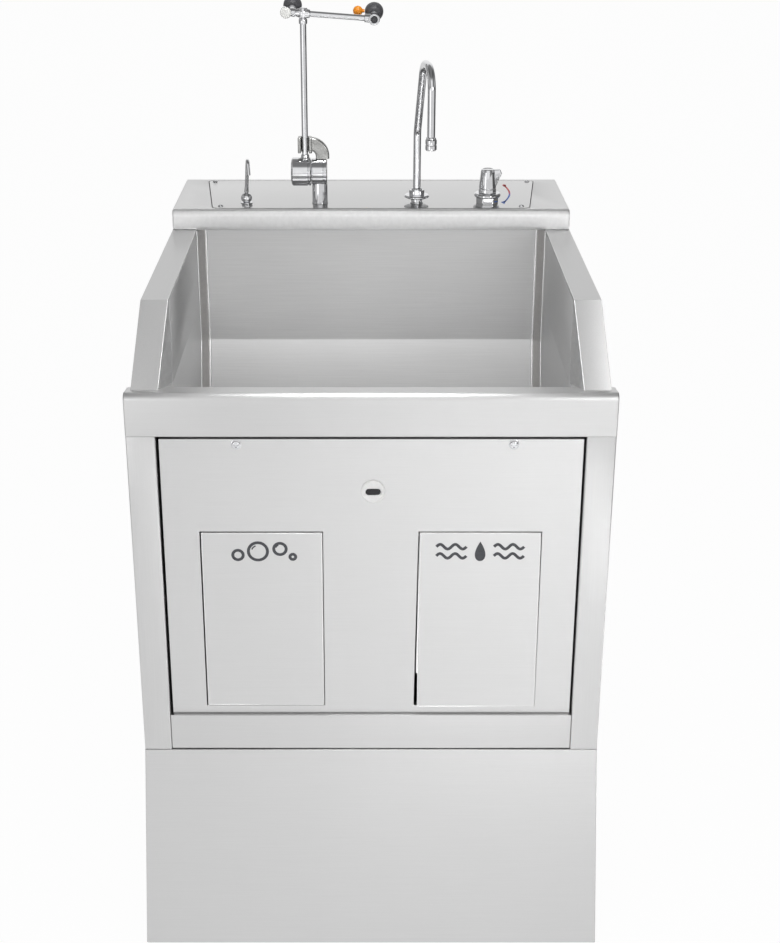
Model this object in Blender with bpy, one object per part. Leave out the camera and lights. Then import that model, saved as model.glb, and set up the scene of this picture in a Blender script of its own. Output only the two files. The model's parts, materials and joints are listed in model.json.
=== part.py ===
"""Surgical scrub sink: a pedestal sink with knee panels, a deck of fixtures and a swing-down eyewash.

Metres, +Z up, the front faces -Y, and the origin is on the floor under the middle of the sink.
"""

import math

import bmesh
import bpy
from mathutils import Vector

# Overall sizes
WIDTH = 0.711
DEPTH = 0.700
PEDESTAL_HEIGHT = 0.376
RIM_HEIGHT = 0.972
DECK_HEIGHT = 1.123
SHEET = 0.002
GAP = 0.0003
OVERSHOOT = 0.010

# Pedestal
PEDESTAL_FACE_SET = 0.001
PEDESTAL_REAR_SET = 0.005
PEDESTAL_FLANGE = 0.025
PEDESTAL_FLARE = 0.0175

# Front frame
FRAME_SET = 0.002
SIDE_SET = 0.0245
STILE_WIDTH = 0.041
RAIL_HEIGHT = 0.062
APRON_HEIGHT = 0.0675
APRON_DEPTH = 0.0455
APRON_ROLL = 0.015
APRON_FLANGE_DROP = 0.035
APRON_FLANGE_SIDE_SET = 0.0085

# Access panel
PANEL_INSET = 0.006
PANEL_SIDE_GAP = 0.004
PANEL_TOP_GAP = 0.003
PANEL_BOTTOM_GAP = 0.002
PANEL_RETURN = 0.012
PANEL_SCREW_SIDE_SET = 0.1066
PANEL_SCREW_SHIFT = 0.0057
PANEL_SCREW_DROP = 0.0105
PANEL_SCREW_HEAD = 0.006
SCREW_HEAD_HEIGHT = 0.003
SCREW_RADIUS = 0.002
SCREW_CLEARANCE = 0.0003

# Knee panels, hung from a pin near their top edge
KNEE_WIDTH = 0.181
KNEE_HEIGHT = 0.295
KNEE_SIDE_SET = 0.055
KNEE_BOTTOM_SET = 0.0135
KNEE_GAP = 0.003
KNEE_RETURN = 0.026
HINGE_DROP = 0.010
HINGE_BACK = 0.0155
PIN_RADIUS = 0.003
PIN_CLEARANCE = 0.0002
PIN_END = 0.004
SOAP_TILT = math.radians(0.4)
WATER_TILT = math.radians(1.6)

# Brackets behind the access panel
BRACKET_SIDE_GAP = 0.0025
BRACKET_FLANGE = 0.015
BRACKET_REACH = 0.118
BRACKET_NECK = 0.028
BRACKET_ABOVE_HINGE = 0.0265
BRACKET_ABOVE_VALVE = 0.0555
BRACKET_BELOW_VALVE = 0.0495

# Push valve, soap pump and their plungers
VALVE_BELOW_BOWL = 0.0825
VALVE_FLANGE_RADIUS = 0.020
VALVE_FLANGE_THICK = 0.005
VALVE_RADIUS = 0.016
VALVE_LENGTH = 0.060
VALVE_BORE_DEPTH = 0.045
PLUNGER_RADIUS = 0.005
PLUNGER_CLEARANCE = 0.0002
PLUNGER_TIP_GAP = 0.0005
PLUNGER_ENGAGED = 0.018
COIL_RADIUS = 0.012
COIL_HEIGHT = 0.030
SUCTION_RADIUS = 0.006
SUCTION_DROP = 0.0445

# Sensor
SENSOR_X = 0.003
SENSOR_DROP = 0.0852
BEZEL_RADIUS = 0.0175
BEZEL_THICK = 0.004
LENS_HALF_LENGTH = 0.0112
LENS_HALF_HEIGHT = 0.0048
LENS_DEPTH = 0.0015
HOUSING_RADIUS = 0.012
HOUSING_NUT_RADIUS = 0.018
HOUSING_LENGTH = 0.030

# Guards at the two sides of the bowl
GUARD_THICK = 0.0395
GUARD_FOOT_SET = 0.024
GUARD_KINK_SET = 0.063
GUARD_ROUND = 0.005
GUARD_SPLAY = 0.0155
CHEEK_LAP = 0.010

# Deck and its plate
DECK_DEPTH = 0.230
LIP_HEIGHT = 0.031
LIP_DEPTH = 0.020
LIP_TOP_ROUND = 0.009
LIP_BOTTOM_ROUND = 0.005
LIP_OVERHANG = 0.015
HEEL_LAP = 0.002
DECK_OPENING_SIDE_SET = 0.019
DECK_OPENING_FRONT_SET = 0.028
DECK_OPENING_REAR_SET = 0.028
PLATE_FRONT_SET = 0.011
PLATE_REAR_SET = 0.006
PLATE_FRONT_SIDE_SET = 0.067
PLATE_REAR_SIDE_SET = 0.041
PLATE_ROUND = 0.012
PLATE_SCREW_INSET = 0.012
PLATE_SCREW_HEAD = 0.0042
PLATE_SCREW_LENGTH = 0.009

# Bowl
BOWL_BEND = 0.895
BOWL_FOOT = 0.750
BOWL_SLOPE = math.radians(20)
BOWL_CORNER = 0.022
BOWL_COVE = 0.015
BOWL_FALL = 0.018
DRAIN_FORWARD = 0.00525
DRAIN_HOLE = 0.0235
DRAIN_SEAT = 0.046

# Drain
STRAINER_RADIUS = 0.042
STRAINER_THICK = 0.0025
STRAINER_SLEEVE = 0.0225
STRAINER_DROP = 0.030
STRAINER_HOLE = 0.0042
STRAINER_HOLE_RING = 0.013
STRAINER_HOLES = 6
WASTE_RADIUS = 0.019
WASTE_WALL = 0.002
TAILPIECE_END = 0.600
TRAP_BOTTOM = 0.470
TRAP_SPAN = 0.080
TRAP_BEND = 0.038
WASTE_HEIGHT = 0.565

# Fixtures on the deck plate
FIXTURE_SET = 0.048
SOAP_SPOUT_SIDE_SET = 0.054
EYEWASH_POST_X = -0.086
FAUCET_X = 0.077
MIXER_SIDE_SET = 0.068
SHANK_RADIUS = 0.010
SHANK_CLEARANCE = 0.0005
SHANK_DROP = 0.035

# Eyewash
EYEWASH_AXIS = 0.0533
POST_RADIUS = 0.0122
POST_FLANGE = 0.0165
POST_FLANGE_THICK = 0.003
BARREL_RADIUS = 0.0222
BARREL_LEFT = -0.0135
BARREL_RIGHT = 0.0125
HUB_RADIUS = 0.0236
HUB_LENGTH = 0.0335
HUB_EDGE = 0.002
HUB_CLEARANCE = 0.0006
ARM_X = -0.110
BOSS_RADIUS = 0.0080
BOSS_TOP = 0.029
RISER_RADIUS = 0.0052
TEE_HEIGHT = 0.258
TEE_RADIUS = 0.0078
TEE_HALF = 0.0085
CROSS_RADIUS = 0.0048
CROSS_LEFT = -0.027
CROSS_RIGHT = 0.115
CROSS_DROOP = math.radians(4.3)
SOCKET_RADIUS = 0.0092
SOCKET_FRONT = 0.012
SOCKET_BACK = 0.009
SOCKET_BORE = 0.0055
SOCKET_BORE_DEPTH = 0.009
STUB_RADIUS = 0.0062
STUB_LENGTH = 0.017
HEAD_LEAN = math.radians(12)
LEFT_HEAD_SHIFT = 0.009
HEAD_RADIUS = 0.0152
HEAD_DEPTH = 0.021
HEAD_NECK = 0.0068
END_CAP_RADIUS = 0.0088
END_CAP_THICK = 0.003
BALL_RADIUS = 0.0080
BALL_SET = 0.0265
BALL_RISE = 0.0035
STEM_RADIUS = 0.0028
CLIP_OUTER = 0.031
CLIP_INNER = 0.0085
CLIP_RISE = 0.0266
CLIP_CENTRE_X = -0.1007
CLIP_HALF = 0.0065
FORK_HALF = 0.0118
FORK_FRONT = 0.009
FORK_BACK = 0.012
FORK_BOTTOM = 0.032
FORK_TOP = 0.0576
FORK_CLEARANCE = 0.0009

# Gooseneck faucet: path as forward and upward distances from the plate
FAUCET_FOOT = 0.0125
FAUCET_DISC = 0.021
FAUCET_DISC_RISE = 0.010
FAUCET_DISC_THICK = 0.0045
FAUCET_NUT = 0.0115
FAUCET_BASE_HEIGHT = 0.026
SPOUT_RADIUS = 0.0064
SPOUT_WALL = 0.0013
SPOUT_YAW = math.radians(8)
SPOUT_KINK = 0.120
SPOUT_LEAN_REACH = 0.056
SPOUT_TOP = 0.241
SPOUT_REACH = 0.130
SPOUT_END = 0.136
SPOUT_BEND = 0.034
OUTLET_RADIUS = 0.0092
OUTLET_BORE = 0.0050
OUTLET_LENGTH = 0.021
OUTLET_EDGE = 0.002

# Mixer
MIXER_BODY = 0.0165
MIXER_FLANGE = 0.0225
MIXER_BASE_HEIGHT = 0.0180
KNOB_BOTTOM_RADIUS = 0.0150
KNOB_TOP_RADIUS = 0.0118
KNOB_TOP = 0.0580
LEVER_REACH = 0.0236
LEVER_HALF = 0.0050
MIXER_BLOCK_LEFT = 0.046
MIXER_BLOCK_RIGHT = 0.042
MIXER_BLOCK_HALF_DEPTH = 0.016
MIXER_BLOCK_TOP = 0.030
MIXER_BLOCK_BOTTOM = 0.080
HOT_SET = 0.028

# Soap spout and bottle. The spout's corners are measured from its seat on the plate
SOAP_BALL = 0.0098
SOAP_BALL_RISE = 0.0085
SOAP_TUBE_RADIUS = 0.0031
SOAP_TUBE_WALL = 0.0009
SOAP_TUBE_BEND = 0.008
SOAP_SPOUT_CORNERS = ((0.001, -0.002, 0.030), (0.004, -0.010, 0.074), (0.006, -0.034, 0.078))
SOAP_SPOUT_TIP = (0.008, -0.042, 0.056)
BOTTLE_RADIUS = 0.042
BOTTLE_SHOULDER_DROP = 0.045
BOTTLE_NECK = 0.015
BOTTLE_SET_BACK = 0.042

# Pipes
PIPE_RADIUS = 0.0075
PIPE_WALL = 0.001
PIPE_BEND = 0.025
SUPPLY_HEIGHT = 0.560
EYEWASH_BRANCH_HEIGHT = 0.750
EYEWASH_BRANCH_SET = 0.100
WALL_HOLE_CLEARANCE = 0.0005

# Sizes that follow from those above
HALF_WIDTH = WIDTH / 2
FRONT = -DEPTH / 2
REAR = DEPTH / 2
BODY_HALF = HALF_WIDTH - FRAME_SET
SIDE_HALF = HALF_WIDTH - SIDE_SET
FRAME_FACE = FRONT + FRAME_SET
PANEL_FACE = FRAME_FACE + PANEL_INSET
PANEL_BACK = PANEL_FACE + SHEET
APRON_BOTTOM = RIM_HEIGHT - APRON_HEIGHT
BOWL_FRONT = FRONT + APRON_DEPTH
APRON_BACK = BOWL_FRONT - SHEET - GAP
FRAME_DEPTH = APRON_BACK - FRAME_FACE
BODY_FRONT = APRON_BACK + GAP
FRAME_INNER = BODY_HALF - STILE_WIDTH
PANEL_HALF = FRAME_INNER - PANEL_SIDE_GAP
PANEL_TOP = APRON_BOTTOM - PANEL_TOP_GAP
PANEL_BOTTOM = PEDESTAL_HEIGHT + RAIL_HEIGHT + PANEL_BOTTOM_GAP
PANEL_SCREW_X = PANEL_HALF - PANEL_SCREW_SIDE_SET
APRON_FLANGE_HALF = PANEL_HALF - APRON_FLANGE_SIDE_SET
KNEE_X = PANEL_HALF - KNEE_SIDE_SET - KNEE_WIDTH / 2
KNEE_BOTTOM = PANEL_BOTTOM + KNEE_BOTTOM_SET
SENSOR_Z = PANEL_TOP - SENSOR_DROP
LIP_FACE = REAR - DECK_DEPTH
LIP_BACK = LIP_FACE + LIP_DEPTH
LIP_BOTTOM = DECK_HEIGHT - LIP_HEIGHT
BOWL_REAR = LIP_FACE + LIP_OVERHANG
BOWL_HALF = SIDE_HALF - GUARD_THICK
HEEL_FRONT = BOWL_REAR - HEEL_LAP
GUARD_TOP = LIP_BOTTOM - GAP
WALL_TOP = GUARD_TOP - SHEET - GAP
GUARD_KINK = FRONT + GUARD_KINK_SET
GUARD_FOOT = FRONT + GUARD_FOOT_SET
GUARD_FLOOR = RIM_HEIGHT + GAP
CHEEK_BACK = GUARD_KINK + CHEEK_LAP
SPLAY_BACK = GUARD_KINK + GUARD_ROUND
SPLAY_SLOPE = GUARD_SPLAY / (SPLAY_BACK - GUARD_FOOT)
DECK_OPENING_FRONT = LIP_FACE + DECK_OPENING_FRONT_SET
DECK_OPENING_REAR = REAR - DECK_OPENING_REAR_SET
PLATE_FRONT_HALF = SIDE_HALF - PLATE_FRONT_SIDE_SET
PLATE_REAR_HALF = SIDE_HALF - PLATE_REAR_SIDE_SET
DECK_OPENING_HALF = PLATE_FRONT_HALF - DECK_OPENING_SIDE_SET
PLATE_FRONT = LIP_FACE + PLATE_FRONT_SET
PLATE_REAR = REAR - PLATE_REAR_SET
PLATE_TOP = DECK_HEIGHT + GAP + SHEET
FIXTURE_Y = LIP_FACE + FIXTURE_SET
SOAP_SPOUT_X = SOAP_SPOUT_SIDE_SET - PLATE_FRONT_HALF
MIXER_X = PLATE_FRONT_HALF - MIXER_SIDE_SET
EYEWASH_BRANCH_Y = REAR - EYEWASH_BRANCH_SET
HINGE_Y = PANEL_FACE + HINGE_BACK
HINGE_Z = KNEE_BOTTOM + KNEE_HEIGHT - HINGE_DROP
DRAIN_Z = BOWL_FOOT - BOWL_COVE - BOWL_FALL
DRAIN_Y = (BOWL_FRONT + BOWL_REAR) / 2 - DRAIN_FORWARD
VALVE_Z = DRAIN_Z - VALVE_BELOW_BOWL
VALVE_DROP = HINGE_Z - VALVE_Z
SUCTION_END = VALVE_Z - SUCTION_DROP
BOTTLE_SHOULDER = SUCTION_END - BOTTLE_SHOULDER_DROP
BRACKET_TOP = HINGE_Z + BRACKET_ABOVE_HINGE
BRACKET_SHELF = VALVE_Z + BRACKET_ABOVE_VALVE
BRACKET_BOTTOM = VALVE_Z - BRACKET_BELOW_VALVE
BRACKET_HALF = KNEE_WIDTH / 2 + KNEE_GAP + BRACKET_SIDE_GAP
BRACKET_FRONT = PANEL_BACK + GAP
BRACKET_REAR = BRACKET_FRONT + BRACKET_REACH
VALVE_FRONT = BRACKET_REAR + GAP
VALVE_REAR = VALVE_FRONT + VALVE_LENGTH
BOTTLE_Y = VALVE_FRONT + BOTTLE_SET_BACK
EYEWASH_Z = PLATE_TOP + EYEWASH_AXIS
SHANK_END = PLATE_TOP - SHANK_DROP
MIXER_PORT_Z = PLATE_TOP - MIXER_BLOCK_BOTTOM - GAP
STRAINER_END = DRAIN_Z + GAP + STRAINER_THICK - STRAINER_DROP


def finish(name, colour, roughness, metallic):
    """A plain material of one colour."""
    material = bpy.data.materials.new(name)
    material.use_nodes = True
    shader = material.node_tree.nodes["Principled BSDF"]
    shader.inputs["Base Color"].default_value = (*colour, 1.0)
    shader.inputs["Roughness"].default_value = roughness
    shader.inputs["Metallic"].default_value = metallic
    return material


def link(name, data, material, parent):
    """Puts one named object in the scene."""
    data.materials.append(material)
    piece = bpy.data.objects.new(name, data)
    piece.parent = parent
    bpy.context.collection.objects.link(piece)
    return piece


def from_bmesh(name, shape, material, parent):
    """Closes a shape into an object with its faces turned outwards."""
    bmesh.ops.recalc_face_normals(shape, faces=shape.faces)
    mesh = bpy.data.meshes.new(name)
    shape.to_mesh(mesh)
    shape.free()
    return link(name, mesh, material, parent)


def prism(name, outline, axis, start, end, material, parent=None):
    """A flat outline drawn out along an axis. Its two numbers lie on the other two axes, in X Y Z order."""
    spot = "XYZ".index(axis)
    shape = bmesh.new()
    corners = []
    for first, second in outline:
        place = [first, second]
        place.insert(spot, start)
        corners.append(shape.verts.new(place))
    face = shape.faces.new(corners)
    drawn = bmesh.ops.extrude_face_region(shape, geom=[face])["geom"]
    moved = [item for item in drawn if isinstance(item, bmesh.types.BMVert)]
    step = Vector((0, 0, 0))
    step[spot] = end - start
    bmesh.ops.translate(shape, verts=moved, vec=step)
    return from_bmesh(name, shape, material, parent)


def block(name, low, high, material, parent=None):
    """A box between two opposite corners."""
    outline = [(low[0], low[1]), (high[0], low[1]), (high[0], high[1]), (low[0], high[1])]
    return prism(name, outline, "Z", low[2], high[2], material, parent)


def turned(name, profile, place, direction, material, steps=16, ring=False, parent=None):
    """A profile of (radius, height) points spun about the line through place along direction.

    The profile runs from the line back to the line, or is a closed ring.
    """
    shape = bmesh.new()
    points = [shape.verts.new((radius, 0, height)) for radius, height in profile]
    pairs = list(zip(points, points[1:]))
    if ring:
        pairs.append((points[-1], points[0]))
    edges = [shape.edges.new(pair) for pair in pairs]
    bmesh.ops.spin(
        shape, geom=points + edges, axis=(0, 0, 1), cent=(0, 0, 0), angle=math.tau, steps=steps, use_merge=True
    )
    bmesh.ops.remove_doubles(shape, verts=shape.verts, dist=1e-6)
    piece = from_bmesh(name, shape, material, parent)
    piece.location = place
    piece.rotation_euler = Vector(direction).to_track_quat("Z", "Y").to_euler()
    return piece


def rod(name, start, end, radius, material, steps=12, parent=None):
    """A solid round bar between two points."""
    along = Vector(end) - Vector(start)
    profile = [(0, 0), (radius, 0), (radius, along.length), (0, along.length)]
    return turned(name, profile, start, along, material, steps, parent=parent)


def round_corner(before, corner, after, radius, steps):
    """Points of the arc that replaces a corner between two straight lines."""
    corner = Vector(corner)
    back = (Vector(before) - corner).normalized()
    ahead = (Vector(after) - corner).normalized()
    half = back.angle(ahead) / 2
    centre = corner + (back + ahead).normalized() * radius / math.sin(half)
    start = corner + back * radius / math.tan(half) - centre
    end = corner + ahead * radius / math.tan(half) - centre
    sweep = math.pi - 2 * half
    arc = []
    for step in range(steps + 1):
        share = step / steps
        turn = start * math.sin((1 - share) * sweep) + end * math.sin(share * sweep)
        arc.append(centre + turn / math.sin(sweep))
    return arc


def bent(points, radius, steps):
    """An open path with every inner corner rounded."""
    path = [Vector(points[0])]
    for before, corner, after in zip(points, points[1:], points[2:]):
        path += round_corner(before, corner, after, radius, steps)
    path.append(Vector(points[-1]))
    return path


def rounded(points, radius, steps):
    """A closed outline with every corner rounded."""
    outline = []
    for index, corner in enumerate(points):
        after = points[(index + 1) % len(points)]
        outline += round_corner(points[index - 1], corner, after, radius, steps)
    return [tuple(point) for point in outline]


def tube(name, path, radius, wall, material, resolution=2, parent=None):
    """A pipe with a bore, swept along a path."""
    curve = bpy.data.curves.new(name, "CURVE")
    curve.dimensions = "3D"
    line = curve.splines.new("POLY")
    line.points.add(len(path) - 1)
    for point, place in zip(line.points, path):
        point.co = (*place, 1)
    curve.bevel_depth = radius
    curve.bevel_resolution = resolution
    pipe = link(name, curve, material, parent)
    bore = pipe.modifiers.new("bore", "SOLIDIFY")
    bore.thickness = wall
    bore.offset = -1
    return pipe


def combine(piece, tool, operation):
    """Cuts a helper out of a piece, or joins it on, and leaves the helper out of the build."""
    change = piece.modifiers.new(tool.name, "BOOLEAN")
    change.operation = operation
    change.solver = "EXACT"
    change.object = tool
    tool.hide_render = True
    tool.display_type = "WIRE"


def cut(piece, tool):
    combine(piece, tool, "DIFFERENCE")


def join(piece, tool):
    combine(piece, tool, "UNION")


def cut_bore(piece, name, start, end, radius, parent=None):
    """A round hole between two points, whose flats stay outside the given radius."""
    steps = 16
    cut(piece, rod(name, start, end, radius / math.cos(math.pi / steps), STEEL, steps, parent))


def cut_hole(piece, name, place, axis, radius):
    """A round hole through a sheet along one axis."""
    reach = Vector([OVERSHOOT if letter == axis else 0 for letter in "XYZ"])
    middle = Vector(place)
    cut_bore(piece, name, middle - reach, middle + reach, radius)


def pivot(name, place, turn=(0, 0, 0)):
    """An empty on a joint's axis, for the pieces that turn together."""
    empty = bpy.data.objects.new(name, None)
    empty.location = place
    empty.rotation_euler = turn
    bpy.context.collection.objects.link(empty)
    return empty


def guard_slope(height, inset):
    """Where the guard's sloped front is at a height, counted from its outer face inwards."""
    lean = (GUARD_FOOT - GUARD_KINK) / (RIM_HEIGHT - GUARD_TOP)
    return GUARD_KINK + lean * (height - GUARD_TOP) + inset * math.sqrt(1 + lean * lean)


def guard_line(rear, inset, radius):
    """The guard's top and sloped front from the rear to the rim, moved inwards by an inset."""
    top = GUARD_TOP - inset
    kink = (guard_slope(top, inset), top)
    foot = (guard_slope(GUARD_FLOOR, inset), GUARD_FLOOR)
    return [tuple(point) for point in bent([(rear, top), kink, foot], radius, 3)]


def flared(low, high, inset):
    """Outline of the pedestal from the front between two heights, wider towards the floor, moved inwards."""
    slope = PEDESTAL_FLARE / PEDESTAL_HEIGHT
    low_half = HALF_WIDTH + slope * (PEDESTAL_HEIGHT - low) - inset
    high_half = HALF_WIDTH + slope * (PEDESTAL_HEIGHT - high) - inset
    return [(-low_half, low), (low_half, low), (high_half, high), (-high_half, high)]


def build_pedestal():
    face = FRONT + PEDESTAL_FACE_SET
    rear = REAR - PEDESTAL_REAR_SET
    open_rear = rear + OVERSHOOT
    top = PEDESTAL_HEIGHT - GAP
    pedestal = prism("pedestal", flared(0, top, 0), "Y", face, rear, STEEL)
    outline = flared(SHEET, top - SHEET, SHEET)
    cut(pedestal, prism("pedestal_hollow", outline, "Y", face + SHEET, open_rear, STEEL))
    outline = flared(-OVERSHOOT, top + OVERSHOOT, PEDESTAL_FLANGE)
    cut(pedestal, prism("pedestal_passage", outline, "Y", face + PEDESTAL_FLANGE, open_rear, STEEL))


def splay(piece, sign):
    """Bends a piece outwards in front of the splay line, by the guard's splay at its foot."""
    shape = bmesh.new()
    shape.from_mesh(piece.data)
    everything = shape.verts[:] + shape.edges[:] + shape.faces[:]
    bmesh.ops.bisect_plane(shape, geom=everything, plane_co=(0, SPLAY_BACK, 0), plane_no=(0, 1, 0))
    for corner in shape.verts:
        corner.co.x += sign * SPLAY_SLOPE * max(SPLAY_BACK - corner.co.y, 0)
    shape.to_mesh(piece.data)
    shape.free()


def build_cabinet():
    base = PEDESTAL_HEIGHT
    rear = REAR - SHEET - GAP
    under_deck = DECK_HEIGHT - SHEET - GAP
    inner = SIDE_HALF - SHEET - GAP
    block("cabinet_floor", (-inner, BODY_FRONT, base), (inner, rear, base + SHEET), STEEL)
    back_low = (-SIDE_HALF, REAR - SHEET, base)
    back = block("back_panel", back_low, (SIDE_HALF, REAR, under_deck), STEEL)
    waste = (0, REAR, WASTE_HEIGHT)
    cut_hole(back, "waste_hole", waste, "Y", WASTE_RADIUS + WALL_HOLE_CLEARANCE)
    for name, x in (("cold_hole", MIXER_X), ("hot_hole", MIXER_X + HOT_SET)):
        cut_hole(back, name, (x, REAR, SUPPLY_HEIGHT), "Y", PIPE_RADIUS + WALL_HOLE_CLEARANCE)
    inset = SHEET + GAP
    side = [(BODY_FRONT, base), (rear, base), (rear, under_deck), (LIP_BACK + GAP, under_deck)]
    side += guard_line(LIP_BACK + GAP, inset, GUARD_ROUND - inset)
    under_rim = RIM_HEIGHT - SHEET - GAP
    side += [(BOWL_FRONT + GAP, GUARD_FLOOR), (BOWL_FRONT + GAP, under_rim), (BODY_FRONT, under_rim)]
    left = prism("left_side_panel", side, "X", -SIDE_HALF, SHEET - SIDE_HALF, STEEL)
    right = prism("right_side_panel", side, "X", SIDE_HALF - SHEET, SIDE_HALF, STEEL)
    splay(left, -1)
    splay(right, 1)
    # Each side is folded outwards at its front edge, behind the stile
    fold = BODY_FRONT + SHEET
    low = (-BODY_HALF, BODY_FRONT, base)
    join(left, block("left_side_fold", low, (SHEET - SIDE_HALF, fold, under_rim), STEEL))
    low = (SIDE_HALF - SHEET, BODY_FRONT, base)
    join(right, block("right_side_fold", low, (BODY_HALF, fold, under_rim), STEEL))


def channel(low, high, face, depth):
    """Outline of a folded channel that opens to the rear, as (across, back) points."""
    back = face + depth
    outline = [(low, back), (low, face), (high, face), (high, back), (high - SHEET, back)]
    return outline + [(high - SHEET, face + SHEET), (low + SHEET, face + SHEET), (low + SHEET, back)]


def build_front_frame():
    base = PEDESTAL_HEIGHT
    top = APRON_BOTTOM - GAP
    left = channel(-BODY_HALF, -FRAME_INNER, FRAME_FACE, FRAME_DEPTH)
    prism("left_stile", left, "Z", base, top, STEEL)
    right = channel(FRAME_INNER, BODY_HALF, FRAME_FACE, FRAME_DEPTH)
    prism("right_stile", right, "Z", base, top, STEEL)
    rail = [(back, up) for up, back in channel(base, base + RAIL_HEIGHT, FRAME_FACE, FRAME_DEPTH)]
    prism("bottom_rail", rail, "X", GAP - FRAME_INNER, FRAME_INNER - GAP, STEEL)


def build_apron():
    """The rolled rim in front of the bowl, hollow and open below, with a flange for the panel screws."""
    roll = round_corner((BOWL_FRONT, RIM_HEIGHT), (FRONT, RIM_HEIGHT), (FRONT, APRON_BOTTOM), APRON_ROLL, 6)
    outline = [(BOWL_FRONT, RIM_HEIGHT)] + [tuple(point) for point in roll]
    outline += [(FRONT, APRON_BOTTOM), (APRON_BACK, APRON_BOTTOM)]
    outline += [(APRON_BACK, RIM_HEIGHT - SHEET), (BOWL_FRONT, RIM_HEIGHT - SHEET)]
    apron = prism("apron", outline, "X", -HALF_WIDTH, HALF_WIDTH, STEEL)
    inner_face = FRONT + SHEET
    inner_top = RIM_HEIGHT - SHEET
    inner_back = APRON_BACK - SHEET
    flange_back = PANEL_BACK + GAP + SHEET
    inner_start = (inner_back, inner_top)
    inner_end = (inner_face, APRON_BOTTOM)
    roll = round_corner(inner_start, (inner_face, inner_top), inner_end, APRON_ROLL - SHEET, 6)
    hollow = [inner_start] + [tuple(point) for point in roll]
    hollow += [(inner_face, APRON_BOTTOM + SHEET), (flange_back, APRON_BOTTOM + SHEET)]
    hollow += [(flange_back, APRON_BOTTOM - OVERSHOOT), (inner_back, APRON_BOTTOM - OVERSHOOT)]
    inner = HALF_WIDTH - SHEET
    cut(apron, prism("apron_hollow", hollow, "X", -inner, inner, STEEL))
    low = (-APRON_FLANGE_HALF, PANEL_BACK + GAP, APRON_BOTTOM - APRON_FLANGE_DROP)
    high = (APRON_FLANGE_HALF, flange_back, APRON_BOTTOM + SHEET / 2)
    join(apron, block("apron_flange", low, high, STEEL))
    return apron


def build_access_panel(apron):
    low = (-PANEL_HALF, PANEL_FACE, PANEL_BOTTOM)
    panel = block("access_panel", low, (PANEL_HALF, PANEL_FACE + PANEL_RETURN, PANEL_TOP), STEEL)
    low = (SHEET - PANEL_HALF, PANEL_BACK, PANEL_BOTTOM + SHEET)
    high = (PANEL_HALF - SHEET, PANEL_FACE + PANEL_RETURN + OVERSHOOT, PANEL_TOP + OVERSHOOT)
    cut(panel, block("panel_hollow", low, high, STEEL))
    half = KNEE_WIDTH / 2 + KNEE_GAP
    for name, x in (("soap_opening", -KNEE_X), ("water_opening", KNEE_X)):
        low = (x - half, PANEL_FACE - OVERSHOOT, KNEE_BOTTOM - KNEE_GAP)
        high = (x + half, PANEL_BACK + OVERSHOOT, KNEE_BOTTOM + KNEE_HEIGHT + KNEE_GAP)
        cut(panel, block(name, low, high, STEEL))
    sensor = (SENSOR_X, PANEL_FACE, SENSOR_Z)
    cut_hole(panel, "sensor_hole", sensor, "Y", HOUSING_RADIUS + SCREW_CLEARANCE)
    head_z = PANEL_TOP - PANEL_SCREW_DROP
    for side, sign in (("left", -1), ("right", 1)):
        x = PANEL_SCREW_SHIFT + sign * PANEL_SCREW_X
        place = (x, PANEL_FACE, head_z)
        cut_hole(panel, "panel_hole_" + side, place, "Y", SCREW_RADIUS + SCREW_CLEARANCE)
        cut_hole(apron, "flange_hole_" + side, place, "Y", SCREW_RADIUS + SCREW_CLEARANCE)
        start = (x, PANEL_FACE - GAP, head_z)
        shank = PANEL_INSET + 2 * SHEET
        screw("panel_screw_" + side, start, (0, -1, 0), PANEL_SCREW_HEAD, shank)


def screw(name, seat, direction, head, length):
    """A pan-head screw whose head sits on the seat, with its shank behind."""
    low_dome = (0.8 * head, 0.75 * SCREW_HEAD_HEIGHT)
    profile = [(0, -length), (SCREW_RADIUS, -length), (SCREW_RADIUS, 0), (head, 0)]
    profile += [(head, 0.3 * SCREW_HEAD_HEIGHT), low_dome, (0, SCREW_HEAD_HEIGHT)]
    turned(name, profile, seat, direction, CHROME, 10)


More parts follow.
